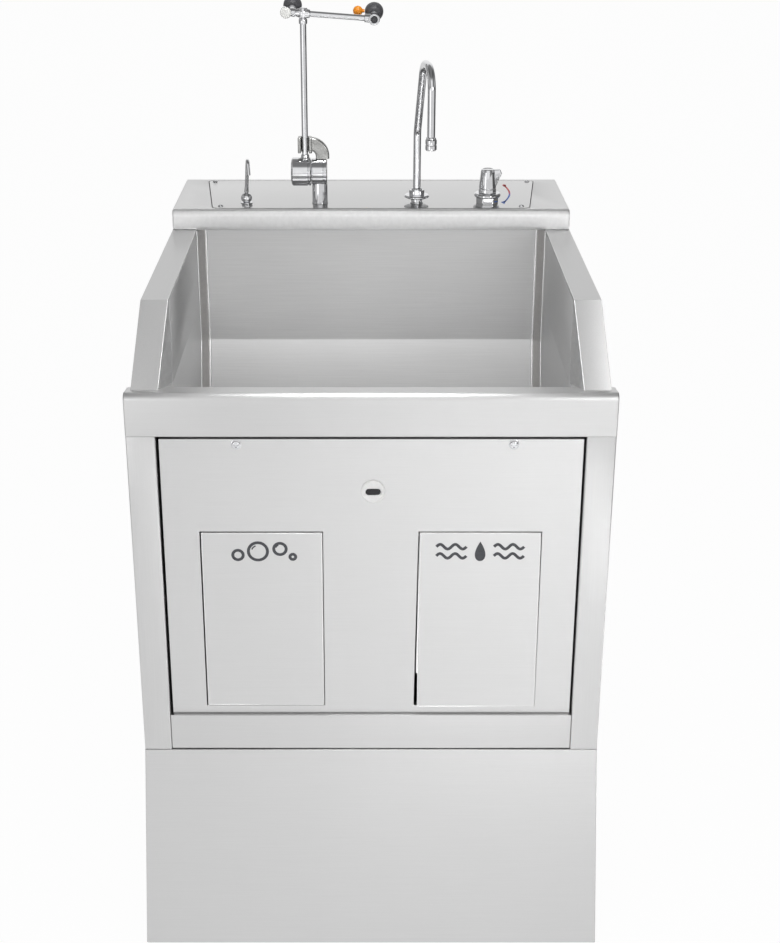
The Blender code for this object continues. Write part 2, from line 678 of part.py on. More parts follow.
def build_bowl():
    """The bowl as rings from its top edge down to the drain hole, thickened outwards."""
    steps = 4
    foot_rear = BOWL_REAR - math.tan(BOWL_SLOPE) * (BOWL_BEND - BOWL_FOOT)
    levels = [(WALL_TOP, BOWL_REAR, 0), (BOWL_BEND, BOWL_REAR, 0), (BOWL_FOOT, foot_rear, 0)]
    for share in (1 / 3, 2 / 3, 1):
        bend = share * math.pi / 2
        level = BOWL_FOOT - BOWL_COVE * math.sin(bend)
        levels.append((level, foot_rear, BOWL_COVE * (1 - math.cos(bend))))
    rings = []
    for height, rear, inset in levels:
        side = BOWL_HALF - inset
        front = BOWL_FRONT + inset
        rear = rear - inset
        corners = [(side, front), (side, rear), (-side, rear), (-side, front)]
        outline = rounded(corners, BOWL_CORNER, steps)
        rings.append([(x, y, height) for x, y in outline])
    count = len(rings[0])
    for radius in (DRAIN_SEAT, DRAIN_HOLE):
        ring = []
        for index in range(count):
            angle = math.tau * (index - steps / 2) / count - math.pi / 4
            ring.append((radius * math.cos(angle), DRAIN_Y + radius * math.sin(angle), DRAIN_Z))
        rings.append(ring)
    shape = bmesh.new()
    rows = [[shape.verts.new(place) for place in ring] for ring in rings]
    for upper, lower in zip(rows, rows[1:]):
        for index in range(count):
            after = (index + 1) % count
            shape.faces.new((upper[index], lower[index], lower[after], upper[after]))
    bmesh.ops.recalc_face_normals(shape, faces=shape.faces)
    shape.faces.ensure_lookup_table()
    if shape.faces[-1].normal.z < 0:
        bmesh.ops.reverse_faces(shape, faces=shape.faces)
    mesh = bpy.data.meshes.new("basin")
    shape.to_mesh(mesh)
    shape.free()
    basin = link("basin", mesh, STEEL, None)
    wall = basin.modifiers.new("wall", "SOLIDIFY")
    wall.thickness = SHEET
    wall.offset = -1
    wall.use_even_offset = True
    low = (-HALF_WIDTH, FRONT, RIM_HEIGHT - SHEET - GAP)
    high = (HALF_WIDTH, CHEEK_BACK + GAP, DECK_HEIGHT)
    cut(basin, block("bowl_front_cut", low, high, STEEL))


def build_guards():
    rear = HEEL_FRONT - GAP
    outer = guard_line(rear, 0, GUARD_ROUND)
    inner = guard_line(rear, SHEET, GUARD_ROUND - SHEET)
    strip = outer + inner[::-1]
    half = SHEET / 2
    cheek = guard_line(CHEEK_BACK, half, GUARD_ROUND - half)
    cheek.append((CHEEK_BACK, GUARD_FLOOR))
    # Closes the wedge between the bowl's wall and the foot of the splayed cheek
    wedge = SPLAY_SLOPE * (SPLAY_BACK - BOWL_FRONT)
    ledge = [(BOWL_HALF, SPLAY_BACK), (BOWL_HALF, BOWL_FRONT), (BOWL_HALF + half + wedge, BOWL_FRONT)]
    ledge.append((BOWL_HALF + half, SPLAY_BACK))
    for side, sign in (("left", -1), ("right", 1)):
        start = sign * BOWL_HALF
        cap = prism(side + "_guard_cap", strip, "X", start, sign * SIDE_HALF, STEEL)
        splay(cap, sign)
        wall = prism(side + "_cheek", cheek, "X", start, start + sign * SHEET, STEEL)
        splay(wall, sign)
        join(cap, wall)
        corners = [(sign * x, y) for x, y in ledge]
        join(cap, prism(side + "_ledge", corners, "Z", GUARD_FLOOR, GUARD_FLOOR + SHEET, STEEL))


def plate_corners(inset):
    """Corners of the deck plate, moved inwards."""
    front = PLATE_FRONT + inset
    rear = PLATE_REAR - inset
    front_half = PLATE_FRONT_HALF - inset
    rear_half = PLATE_REAR_HALF - inset
    return [(-front_half, front), (front_half, front), (rear_half, rear), (-rear_half, rear)]


def build_deck():
    under = DECK_HEIGHT - SHEET
    top = (LIP_FACE, DECK_HEIGHT)
    bottom = (LIP_FACE, LIP_BOTTOM)
    lip = round_corner((REAR, DECK_HEIGHT), top, bottom, LIP_TOP_ROUND, 5)
    lip += round_corner(top, bottom, (HEEL_FRONT, LIP_BOTTOM), LIP_BOTTOM_ROUND, 4)
    outline = [(REAR, DECK_HEIGHT)] + [tuple(point) for point in lip]
    heel = GUARD_TOP - SHEET
    outline += [(HEEL_FRONT, LIP_BOTTOM), (HEEL_FRONT, heel), (LIP_BACK, heel)]
    outline += [(LIP_BACK, under), (REAR, under)]
    deck = prism("deck", outline, "X", -SIDE_HALF, SIDE_HALF, STEEL)
    inner = SIDE_HALF - SHEET
    low = (-inner, LIP_FACE + 2 * SHEET, LIP_BOTTOM + SHEET)
    cut(deck, block("lip_hollow", low, (inner, LIP_BACK + OVERSHOOT, under - SHEET), STEEL))
    low = (-DECK_OPENING_HALF, DECK_OPENING_FRONT, under - OVERSHOOT)
    high = (DECK_OPENING_HALF, DECK_OPENING_REAR, DECK_HEIGHT + OVERSHOOT)
    cut(deck, block("deck_opening", low, high, STEEL))
    low_face = DECK_HEIGHT + GAP
    outline = rounded(plate_corners(0), PLATE_ROUND, 3)
    plate = prism("deck_plate", outline, "Z", low_face, PLATE_TOP, STEEL)
    fixtures = (("soap", SOAP_SPOUT_X), ("eyewash", EYEWASH_POST_X), ("faucet", FAUCET_X), ("mixer", MIXER_X))
    for name, x in fixtures:
        place = (x, FIXTURE_Y, DECK_HEIGHT)
        cut_hole(plate, name + "_hole", place, "Z", SHANK_RADIUS + SHANK_CLEARANCE)
    corners = ("front_left", "front_right", "rear_right", "rear_left")
    for name, (x, y) in zip(corners, plate_corners(PLATE_SCREW_INSET)):
        place = (x, y, DECK_HEIGHT)
        for piece in (plate, deck):
            cut_hole(piece, piece.name + "_hole_" + name, place, "Z", SCREW_RADIUS + SCREW_CLEARANCE)
        seat = (x, y, PLATE_TOP + GAP)
        screw("deck_screw_" + name, seat, (0, 0, 1), PLATE_SCREW_HEAD, PLATE_SCREW_LENGTH)


def build_knee(word, x, tilt):
    """One knee panel on its pin, the bracket that holds both, and the plunger that the panel pushes."""
    axis = pivot(word + "_knee_pivot", (x, HINGE_Y, HINGE_Z), (-tilt, 0, 0))
    half = KNEE_WIDTH / 2
    top = HINGE_DROP
    bottom = top - KNEE_HEIGHT
    low = (-half, -HINGE_BACK, bottom)
    high = (half, KNEE_RETURN - HINGE_BACK, top)
    panel = block(word + "_knee_panel", low, high, STEEL, axis)
    low = (SHEET - half, SHEET - HINGE_BACK, bottom + SHEET)
    high = (half - SHEET, KNEE_RETURN, top + OVERSHOOT)
    cut(panel, block(word + "_knee_hollow", low, high, STEEL, axis))
    bore = PIN_RADIUS + PIN_CLEARANCE
    cut_bore(panel, word + "_knee_bore", (-KNEE_WIDTH, 0, 0), (KNEE_WIDTH, 0, 0), bore, axis)

    reach = BRACKET_HALF + SHEET + PIN_END
    rod(word + "_hinge_pin", (x - reach, HINGE_Y, HINGE_Z), (x + reach, HINGE_Y, HINGE_Z), PIN_RADIUS, CHROME)
    inner = BRACKET_HALF
    outer = BRACKET_HALF + SHEET
    wing = outer + BRACKET_FLANGE
    fold = BRACKET_FRONT + SHEET
    hat = [(-wing, BRACKET_FRONT), (-inner, BRACKET_FRONT), (-inner, BRACKET_REAR - SHEET)]
    hat += [(inner, BRACKET_REAR - SHEET), (inner, BRACKET_FRONT), (wing, BRACKET_FRONT)]
    hat += [(wing, fold), (outer, fold), (outer, BRACKET_REAR)]
    hat += [(-outer, BRACKET_REAR), (-outer, fold), (-wing, fold)]
    outline = [(x + across, back) for across, back in hat]
    bracket = prism(word + "_knee_bracket", outline, "Z", BRACKET_BOTTOM, BRACKET_TOP, STEEL)
    low = (x - wing, BRACKET_FRONT + BRACKET_NECK, BRACKET_SHELF)
    high = (x + wing, BRACKET_REAR + OVERSHOOT, BRACKET_TOP + OVERSHOOT)
    cut(bracket, block(word + "_bracket_notch", low, high, STEEL))
    ends = (x - wing, HINGE_Y, HINGE_Z), (x + wing, HINGE_Y, HINGE_Z)
    cut_bore(bracket, word + "_bracket_bore", *ends, bore)
    clear = PLUNGER_RADIUS + PLUNGER_CLEARANCE
    cut_hole(bracket, word + "_plunger_hole", (x, BRACKET_REAR, VALVE_Z), "Y", clear)

    panel_back = HINGE_BACK - SHEET
    tip = HINGE_Y - panel_back * math.cos(tilt) - VALVE_DROP * math.sin(tilt) + PLUNGER_TIP_GAP
    length = VALVE_FRONT + PLUNGER_ENGAGED - tip
    dome = [(PLUNGER_RADIUS * part, PLUNGER_RADIUS * rise) for part, rise in ((0, 0), (0.6, 0.12), (1, 0.5))]
    profile = dome + [(PLUNGER_RADIUS, length), (0, length)]
    turned(word + "_plunger", profile, (x, tip, VALVE_Z), (0, 1, 0), BRASS, 12)


def valve_body(name, x):
    """A body behind the bracket with a blind bore for the plunger."""
    bore = PLUNGER_RADIUS + PLUNGER_CLEARANCE
    profile = [(0, VALVE_BORE_DEPTH), (bore, VALVE_BORE_DEPTH), (bore, 0), (VALVE_FLANGE_RADIUS, 0)]
    profile += [(VALVE_FLANGE_RADIUS, VALVE_FLANGE_THICK), (VALVE_RADIUS, VALVE_FLANGE_THICK)]
    profile += [(VALVE_RADIUS, VALVE_LENGTH), (0, VALVE_LENGTH)]
    return turned(name, profile, (x, VALVE_FRONT, VALVE_Z), (0, 1, 0), BRASS)


def build_works():
    """Water valve with its coil, soap pump and soap bottle."""
    valve_body("water_valve", KNEE_X)
    middle = (VALVE_FRONT + VALVE_FLANGE_THICK + VALVE_REAR) / 2
    start = (KNEE_X, middle, VALVE_Z + VALVE_RADIUS + GAP)
    end = (KNEE_X, middle, VALVE_Z + VALVE_RADIUS + GAP + COIL_HEIGHT)
    rod("solenoid_coil", start, end, COIL_RADIUS, GREY_PLASTIC, 16)
    pump = valve_body("soap_pump", -KNEE_X)
    start = (-KNEE_X, BOTTLE_Y, VALVE_Z - VALVE_RADIUS / 2)
    end = (-KNEE_X, BOTTLE_Y, SUCTION_END)
    join(pump, rod("soap_suction", start, end, SUCTION_RADIUS, BRASS))
    base = PEDESTAL_HEIGHT + SHEET + GAP
    shoulder = BOTTLE_SHOULDER - base
    neck = SUCTION_END - GAP - base
    profile = [(0, 0), (BOTTLE_RADIUS, 0), (BOTTLE_RADIUS, shoulder)]
    profile += [(BOTTLE_NECK, (shoulder + neck) / 2), (BOTTLE_NECK, neck), (0, neck)]
    turned("soap_bottle", profile, (-KNEE_X, BOTTLE_Y, base), (0, 0, 1), WHITE_PLASTIC)


def stadium(half_length, half_height, steps):
    """Outline of a slot with round ends, as (across, up) points round its middle."""
    straight = half_length - half_height
    outline = []
    for middle, start in ((straight, -math.pi / 2), (-straight, math.pi / 2)):
        for step in range(steps + 1):
            angle = start + math.pi * step / steps
            outline.append((middle + half_height * math.cos(angle), half_height * math.sin(angle)))
    return outline


def build_sensor():
    back = PANEL_FACE - GAP
    face = back - BEZEL_THICK
    edge = BEZEL_THICK / 4
    profile = [(0, 0), (BEZEL_RADIUS, 0), (BEZEL_RADIUS, BEZEL_THICK - edge)]
    profile += [(BEZEL_RADIUS - edge, BEZEL_THICK), (0, BEZEL_THICK)]
    bezel = turned("sensor_bezel", profile, (SENSOR_X, back, SENSOR_Z), (0, -1, 0), WHITE_PLASTIC, 24)
    pocket = stadium(LENS_HALF_LENGTH + GAP, LENS_HALF_HEIGHT + GAP, 6)
    outline = [(SENSOR_X + across, SENSOR_Z + up) for across, up in pocket]
    floor = face + LENS_DEPTH + GAP
    cut(bezel, prism("lens_pocket", outline, "Y", face - OVERSHOOT, floor, BLACK_GLASS))
    slot = stadium(LENS_HALF_LENGTH, LENS_HALF_HEIGHT, 6)
    outline = [(SENSOR_X + across, SENSOR_Z + up) for across, up in slot]
    prism("sensor_lens", outline, "Y", face, face + LENS_DEPTH, BLACK_GLASS)
    nut = SHEET + GAP
    nut_end = nut + HOUSING_LENGTH / 3
    profile = [(0, 0), (HOUSING_RADIUS, 0), (HOUSING_RADIUS, nut), (HOUSING_NUT_RADIUS, nut)]
    profile += [(HOUSING_NUT_RADIUS, nut_end), (HOUSING_RADIUS, nut_end)]
    profile += [(HOUSING_RADIUS, HOUSING_LENGTH), (0, HOUSING_LENGTH)]
    turned("sensor_housing", profile, (SENSOR_X, PANEL_FACE, SENSOR_Z), (0, 1, 0), GREY_PLASTIC)


def shank():
    """Lower part that every fixture on the deck plate has, from its axis out to its seat."""
    return [(0, -SHANK_DROP), (SHANK_RADIUS, -SHANK_DROP), (SHANK_RADIUS, GAP)]


def build_eyewash():
    base = (EYEWASH_POST_X, FIXTURE_Y, PLATE_TOP)
    flange = POST_FLANGE_THICK
    profile = shank() + [(POST_FLANGE, GAP), (POST_FLANGE, flange), (POST_RADIUS, 2 * flange)]
    profile += [(POST_RADIUS, EYEWASH_AXIS), (0, EYEWASH_AXIS)]
    post = turned("eyewash_post", profile, base, (0, 0, 1), CHROME, 20)
    left = (EYEWASH_POST_X + BARREL_LEFT, FIXTURE_Y, EYEWASH_Z)
    right = (EYEWASH_POST_X + BARREL_RIGHT, FIXTURE_Y, EYEWASH_Z)
    join(post, rod("eyewash_barrel", left, right, BARREL_RADIUS, CHROME, 20))

    centre_z = EYEWASH_Z + CLIP_RISE
    foot = EYEWASH_Z + BARREL_RADIUS + GAP
    outline = [(CLIP_CENTRE_X + CLIP_INNER, foot), (CLIP_CENTRE_X + CLIP_OUTER, foot)]
    steps = 8
    for radius, order in ((CLIP_OUTER, range(steps + 1)), (CLIP_INNER, range(steps, -1, -1))):
        for step in order:
            angle = math.pi / 2 * step / steps
            outline.append((CLIP_CENTRE_X + radius * math.cos(angle), centre_z + radius * math.sin(angle)))
    clip = prism("eyewash_clip", outline, "Y", FIXTURE_Y - CLIP_HALF, FIXTURE_Y + CLIP_HALF, STEEL)
    low = (ARM_X - FORK_HALF, FIXTURE_Y - FORK_FRONT, EYEWASH_Z + FORK_BOTTOM)
    high = (ARM_X + FORK_HALF, FIXTURE_Y + FORK_BACK, EYEWASH_Z + FORK_TOP)
    join(clip, block("clip_fork", low, high, STEEL))
    clear = RISER_RADIUS + FORK_CLEARANCE
    low = (ARM_X - clear, FIXTURE_Y - FORK_FRONT - OVERSHOOT, EYEWASH_Z + FORK_BOTTOM - OVERSHOOT)
    high = (ARM_X + clear, FIXTURE_Y + clear, EYEWASH_Z + FORK_TOP + OVERSHOOT)
    cut(clip, block("fork_slot", low, high, STEEL))

    axis = pivot("eyewash_pivot", (ARM_X, FIXTURE_Y, EYEWASH_Z))
    hub_right = EYEWASH_POST_X + BARREL_LEFT - HUB_CLEARANCE - ARM_X
    edge = HUB_EDGE
    end = HUB_LENGTH
    profile = [(0, 0), (HUB_RADIUS - edge, 0), (HUB_RADIUS, edge), (HUB_RADIUS, end - edge)]
    profile += [(HUB_RADIUS - edge, end), (0, end)]
    start = (hub_right - HUB_LENGTH, 0, 0)
    hub = turned("eyewash_hub", profile, start, (1, 0, 0), CHROME, 24, parent=axis)
    join(hub, rod("hub_boss", (0, 0, 0), (0, 0, BOSS_TOP), BOSS_RADIUS, CHROME, parent=axis))

    arm = rod("eyewash_arm", (0, 0, BOSS_TOP + GAP), (0, 0, TEE_HEIGHT), RISER_RADIUS, CHROME, parent=axis)
    tee = ((0, 0, TEE_HEIGHT - TEE_HALF), (0, 0, TEE_HEIGHT + TEE_HALF))
    join(arm, rod("arm_tee", *tee, TEE_RADIUS, CHROME, parent=axis))
    drop = math.tan(CROSS_DROOP)
    ends = [(x, 0, TEE_HEIGHT - x * drop) for x in (CROSS_LEFT, CROSS_RIGHT)]
    join(arm, rod("arm_cross", *ends, CROSS_RADIUS, CHROME, parent=axis))
    lean = Vector((0, math.cos(HEAD_LEAN), math.sin(HEAD_LEAN)))
    shifts = {"left": Vector((LEFT_HEAD_SHIFT, 0, -LEFT_HEAD_SHIFT * drop)), "right": Vector((0, 0, 0))}
    for side, place in zip(("left", "right"), ends):
        middle = Vector(place)
        front = middle - Vector((0, SOCKET_FRONT, 0))
        back = middle + Vector((0, SOCKET_BACK, 0))
        join(arm, rod(side + "_socket", front, back, SOCKET_RADIUS, CHROME, parent=axis))
        root = middle + shifts[side]
        tip = root + lean * STUB_LENGTH
        join(arm, rod(side + "_stub", root, tip, STUB_RADIUS, CHROME, parent=axis))
        build_spray_head(side, tip + lean * GAP, lean, axis)
    front = Vector(ends[1]) - Vector((0, SOCKET_FRONT, 0))
    bore_ends = (front - Vector((0, OVERSHOOT, 0)), front + Vector((0, SOCKET_BORE_DEPTH, 0)))
    cut_bore(arm, "socket_bore", *bore_ends, SOCKET_BORE, axis)

    seat = Vector(ends[0]) - Vector((0, SOCKET_FRONT + GAP, 0))
    profile = [(0, 0), (END_CAP_RADIUS, 0), (END_CAP_RADIUS, END_CAP_THICK / 2)]
    profile += [(0.7 * END_CAP_RADIUS, END_CAP_THICK), (0, END_CAP_THICK)]
    turned("white_end_cap", profile, seat, (0, -1, 0), WHITE_PLASTIC, 20, parent=axis)
    head_middle = Vector(ends[1]) + lean * (STUB_LENGTH + GAP + HEAD_DEPTH / 2)
    ball_middle = head_middle + Vector((-BALL_SET, 0, BALL_RISE))
    steps = 8
    profile = []
    for step in range(steps + 1):
        angle = math.pi * step / steps
        profile.append((BALL_RADIUS * math.sin(angle), -BALL_RADIUS * math.cos(angle)))
    profile[0] = (0, -BALL_RADIUS)
    profile[-1] = (0, BALL_RADIUS)
    ball = turned("orange_cap", profile, ball_middle, (1, 0, 0), ORANGE_PLASTIC, parent=axis)
    stem_end = head_middle + Vector((-HEAD_RADIUS - GAP, 0, BALL_RISE))
    join(ball, rod("orange_stem", ball_middle, stem_end, STEM_RADIUS, ORANGE_PLASTIC, 10, parent=axis))


def build_spray_head(side, seat, direction, axis):
    """A domed head that widens from its neck to a flat spray face."""
    collar = HEAD_DEPTH / 7
    profile = [(0, 0), (HEAD_NECK, 0), (HEAD_NECK, collar)]
    steps = 5
    for step in range(1, steps + 1):
        angle = math.pi / 2 * step / steps
        radius = HEAD_NECK + (HEAD_RADIUS - HEAD_NECK) * math.sin(angle)
        profile.append((radius, collar + (HEAD_DEPTH - 2 * collar) * (1 - math.cos(angle))))
    profile += [(HEAD_RADIUS, HEAD_DEPTH), (0, HEAD_DEPTH)]
    turned(side + "_spray_head", profile, seat, direction, GREY_PLASTIC, 20, parent=axis)


def build_faucet():
    base = (FAUCET_X, FIXTURE_Y, PLATE_TOP)
    disc = FAUCET_DISC_RISE
    disc_top = disc + FAUCET_DISC_THICK
    nut_top = 0.9 * FAUCET_BASE_HEIGHT
    profile = shank() + [(FAUCET_FOOT, GAP), (FAUCET_FOOT, disc), (FAUCET_DISC, disc), (FAUCET_DISC, disc_top)]
    profile += [(FAUCET_NUT, disc_top), (FAUCET_NUT, nut_top), (SPOUT_RADIUS, FAUCET_BASE_HEIGHT)]
    profile.append((0, FAUCET_BASE_HEIGHT))
    turned("faucet_base", profile, base, (0, 0, 1), CHROME, 24)
    axis = pivot("spout_pivot", base, (0, 0, SPOUT_YAW))
    line = [(0, FAUCET_BASE_HEIGHT + GAP), (0, SPOUT_KINK), (SPOUT_LEAN_REACH, SPOUT_TOP)]
    line += [(SPOUT_REACH, SPOUT_TOP), (SPOUT_REACH, SPOUT_END)]
    path = bent([(0, -forward, up) for forward, up in line], SPOUT_BEND, 6)
    tube("faucet_spout", path, SPOUT_RADIUS, SPOUT_WALL, CHROME, 3, axis)
    edge = OUTLET_EDGE
    end = OUTLET_LENGTH
    profile = [(OUTLET_BORE, 0), (OUTLET_RADIUS - edge, 0), (OUTLET_RADIUS, edge), (OUTLET_RADIUS, end - edge)]
    profile += [(OUTLET_RADIUS - edge, end), (OUTLET_BORE, end)]
    seat = (0, -SPOUT_REACH, SPOUT_END - GAP)
    turned("faucet_outlet", profile, seat, (0, 0, -1), CHROME, 20, ring=True, parent=axis)


def build_mixer():
    base = (MIXER_X, FIXTURE_Y, PLATE_TOP)
    body_top = 0.6 * MIXER_BASE_HEIGHT
    profile = shank() + [(MIXER_BODY, GAP), (MIXER_BODY, body_top), (MIXER_FLANGE, body_top)]
    profile += [(MIXER_FLANGE, MIXER_BASE_HEIGHT), (0, MIXER_BASE_HEIGHT)]
    mixer = turned("mixer_base", profile, base, (0, 0, 1), CHROME, 24)
    low = (MIXER_X - MIXER_BLOCK_LEFT, FIXTURE_Y - MIXER_BLOCK_HALF_DEPTH, PLATE_TOP - MIXER_BLOCK_BOTTOM)
    high = (MIXER_X + MIXER_BLOCK_RIGHT, FIXTURE_Y + MIXER_BLOCK_HALF_DEPTH, PLATE_TOP - MIXER_BLOCK_TOP)
    join(mixer, block("mixer_block", low, high, BRASS))
    axis = pivot("mixer_pivot", base)
    start = MIXER_BASE_HEIGHT + GAP
    crown = 0.93 * KNOB_TOP
    profile = [(0, start), (KNOB_BOTTOM_RADIUS, start), (KNOB_TOP_RADIUS, crown)]
    profile += [(0.75 * KNOB_TOP_RADIUS, KNOB_TOP), (0, KNOB_TOP)]
    knob = turned("mixer_knob", profile, (0, 0, 0), (0, 0, 1), CHROME, 20, parent=axis)
    root = KNOB_TOP_RADIUS / 2
    wing = [(root, 0.48 * KNOB_TOP), (0.62 * LEVER_REACH, 0.50 * KNOB_TOP), (0.75 * LEVER_REACH, 0.67 * KNOB_TOP)]
    wing += [(LEVER_REACH, 0.87 * KNOB_TOP), (0.87 * LEVER_REACH, 0.985 * KNOB_TOP), (root, 0.97 * KNOB_TOP)]
    join(knob, prism("mixer_lever", wing, "Y", -LEVER_HALF, LEVER_HALF, CHROME, axis))


def build_soap_spout():
    base = (SOAP_SPOUT_X, FIXTURE_Y, PLATE_TOP)
    profile = shank()
    steps = 6
    for step in range(steps + 1):
        angle = -math.pi / 3 + math.pi * 5 / 6 * step / steps
        profile.append((SOAP_BALL * math.cos(angle), SOAP_BALL_RISE + SOAP_BALL * math.sin(angle)))
    profile[3] = (profile[3][0], GAP)
    profile[-1] = (0, SOAP_BALL_RISE + SOAP_BALL)
    turned("soap_spout_base", profile, base, (0, 0, 1), CHROME, 20)
    axis = pivot("soap_spout_pivot", base)
    start = SOAP_BALL_RISE + SOAP_BALL + GAP
    path = [(0, 0, start), *SOAP_SPOUT_CORNERS, SOAP_SPOUT_TIP]
    tube("soap_spout", bent(path, SOAP_TUBE_BEND, 4), SOAP_TUBE_RADIUS, SOAP_TUBE_WALL, CHROME, 2, axis)


def build_drain():
    seat = (0, DRAIN_Y, DRAIN_Z + GAP + STRAINER_THICK)
    bore = WASTE_RADIUS - WASTE_WALL / 2
    under = -STRAINER_THICK
    profile = [(0, 0), (STRAINER_RADIUS, 0), (STRAINER_RADIUS, under), (STRAINER_SLEEVE, under)]
    profile += [(STRAINER_SLEEVE, -STRAINER_DROP), (bore, -STRAINER_DROP), (bore, under), (0, under)]
    strainer = turned("drain_strainer", profile, seat, (0, 0, 1), STEEL, 24)
    for number in range(STRAINER_HOLES):
        angle = math.tau * number / STRAINER_HOLES
        x = STRAINER_HOLE_RING * math.cos(angle)
        y = DRAIN_Y + STRAINER_HOLE_RING * math.sin(angle)
        cut_hole(strainer, f"strainer_hole_{number}", (x, y, DRAIN_Z), "Z", STRAINER_HOLE)
    start = STRAINER_END - GAP
    tail = [(0, DRAIN_Y, start), (0, DRAIN_Y, TAILPIECE_END)]
    tube("drain_tailpiece", tail, WASTE_RADIUS, WASTE_WALL, CHROME, 4)
    rise = DRAIN_Y + TRAP_SPAN
    line = [(0, DRAIN_Y, TAILPIECE_END - GAP), (0, DRAIN_Y, TRAP_BOTTOM), (0, rise, TRAP_BOTTOM)]
    line += [(0, rise, WASTE_HEIGHT), (0, REAR, WASTE_HEIGHT)]
    tube("drain_trap", bent(line, TRAP_BEND, 5), WASTE_RADIUS, WASTE_WALL, CHROME, 4)


def pipe(name, corners, radius=PIPE_RADIUS):
    """A supply pipe through its corners."""
    tube(name, bent(corners, PIPE_BEND, 4), radius, PIPE_WALL, COPPER)


def build_pipes():
    for name, x in (("cold_supply_pipe", MIXER_X), ("hot_supply_pipe", MIXER_X + HOT_SET)):
        line = [(x, FIXTURE_Y, MIXER_PORT_Z), (x, FIXTURE_Y, SUPPLY_HEIGHT), (x, REAR, SUPPLY_HEIGHT)]
        pipe(name, line)
    line = [(KNEE_X, FIXTURE_Y, MIXER_PORT_Z), (KNEE_X, FIXTURE_Y, VALVE_Z), (KNEE_X, VALVE_REAR + GAP, VALVE_Z)]
    pipe("mixed_water_pipe", line)
    middle = (VALVE_FRONT + VALVE_FLANGE_THICK + VALVE_REAR) / 2
    side = KNEE_X - VALVE_RADIUS - GAP
    line = [(side, middle, VALVE_Z), (FAUCET_X, middle, VALVE_Z), (FAUCET_X, FIXTURE_Y, VALVE_Z)]
    pipe("spout_supply_pipe", line + [(FAUCET_X, FIXTURE_Y, SHANK_END - GAP)])
    start = FIXTURE_Y + PIPE_RADIUS + GAP
    level = EYEWASH_BRANCH_HEIGHT
    line = [(MIXER_X, start, level), (MIXER_X, EYEWASH_BRANCH_Y, level)]
    line += [(EYEWASH_POST_X, EYEWASH_BRANCH_Y, level), (EYEWASH_POST_X, FIXTURE_Y, level)]
    pipe("eyewash_supply_pipe", line + [(EYEWASH_POST_X, FIXTURE_Y, SHANK_END - GAP)])
    line = [(-KNEE_X, VALVE_REAR + GAP, VALVE_Z), (-KNEE_X, FIXTURE_Y, VALVE_Z)]
    line += [(SOAP_SPOUT_X, FIXTURE_Y, VALVE_Z), (SOAP_SPOUT_X, FIXTURE_Y, SHANK_END - GAP)]
    tube("soap_tube", bent(line, PIPE_BEND / 2, 4), SOAP_TUBE_RADIUS, SOAP_TUBE_WALL, WHITE_PLASTIC)


for leftover in list(bpy.data.objects):
    bpy.data.objects.remove(leftover)

STEEL = finish("brushed_stainless_steel", (0.62, 0.62, 0.63), 0.35, 1.0)
CHROME = finish("polished_chrome", (0.80, 0.80, 0.82), 0.08, 1.0)
BRASS = finish("cast_brass", (0.70, 0.52, 0.22), 0.30, 1.0)
COPPER = finish("drawn_copper", (0.72, 0.40, 0.26), 0.30, 1.0)
WHITE_PLASTIC = finish("white_plastic", (0.86, 0.86, 0.84), 0.45, 0.0)
GREY_PLASTIC = finish("dark_grey_plastic", (0.13, 0.13, 0.14), 0.50, 0.0)
ORANGE_PLASTIC = finish("orange_plastic", (0.78, 0.20, 0.05), 0.45, 0.0)
BLACK_GLASS = finish("black_sensor_glass", (0.01, 0.01, 0.012), 0.10, 0.0)

build_pedestal()
build_cabinet()
build_front_frame()
build_access_panel(build_apron())
build_bowl()
build_guards()
build_deck()
build_knee("soap", -KNEE_X, SOAP_TILT)
build_knee("water", KNEE_X, WATER_TILT)
build_works()
build_sensor()
build_eyewash()
build_faucet()
build_mixer()
build_soap_spout()
build_drain()
build_pipes()
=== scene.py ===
"""Looks of the surgical scrub sink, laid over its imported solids.

Metres, +Z up, the user stands at -Y. Every new piece is a surface worked out as whole arrays: an outline drawn
along an axis, a profile spun or carried along a path, or a sheet on a grid.
"""

import json
import math

import bmesh
import bpy
import numpy as np
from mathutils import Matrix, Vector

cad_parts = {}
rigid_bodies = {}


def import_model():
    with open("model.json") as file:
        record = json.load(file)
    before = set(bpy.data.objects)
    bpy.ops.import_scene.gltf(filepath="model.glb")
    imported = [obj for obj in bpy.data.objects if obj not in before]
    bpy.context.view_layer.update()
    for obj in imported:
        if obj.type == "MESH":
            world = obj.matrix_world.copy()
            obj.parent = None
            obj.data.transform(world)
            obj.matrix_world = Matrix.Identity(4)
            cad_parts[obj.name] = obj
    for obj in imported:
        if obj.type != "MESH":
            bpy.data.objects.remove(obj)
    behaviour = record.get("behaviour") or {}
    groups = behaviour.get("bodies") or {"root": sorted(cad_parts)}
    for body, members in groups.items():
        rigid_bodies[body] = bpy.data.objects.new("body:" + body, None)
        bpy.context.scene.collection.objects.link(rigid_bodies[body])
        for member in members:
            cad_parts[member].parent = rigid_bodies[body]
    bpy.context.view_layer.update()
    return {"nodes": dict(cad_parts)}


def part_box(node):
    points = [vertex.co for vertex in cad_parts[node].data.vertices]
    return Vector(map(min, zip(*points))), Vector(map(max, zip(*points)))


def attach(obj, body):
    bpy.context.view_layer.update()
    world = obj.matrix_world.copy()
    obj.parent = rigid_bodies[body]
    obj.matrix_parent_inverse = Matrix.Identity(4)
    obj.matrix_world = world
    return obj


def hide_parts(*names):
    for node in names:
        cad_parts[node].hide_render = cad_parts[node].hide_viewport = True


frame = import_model()

# Sheet metal
SHEET = 0.002
HAIR = 0.0003
EASE = 0.0008
FOLD = 0.0025

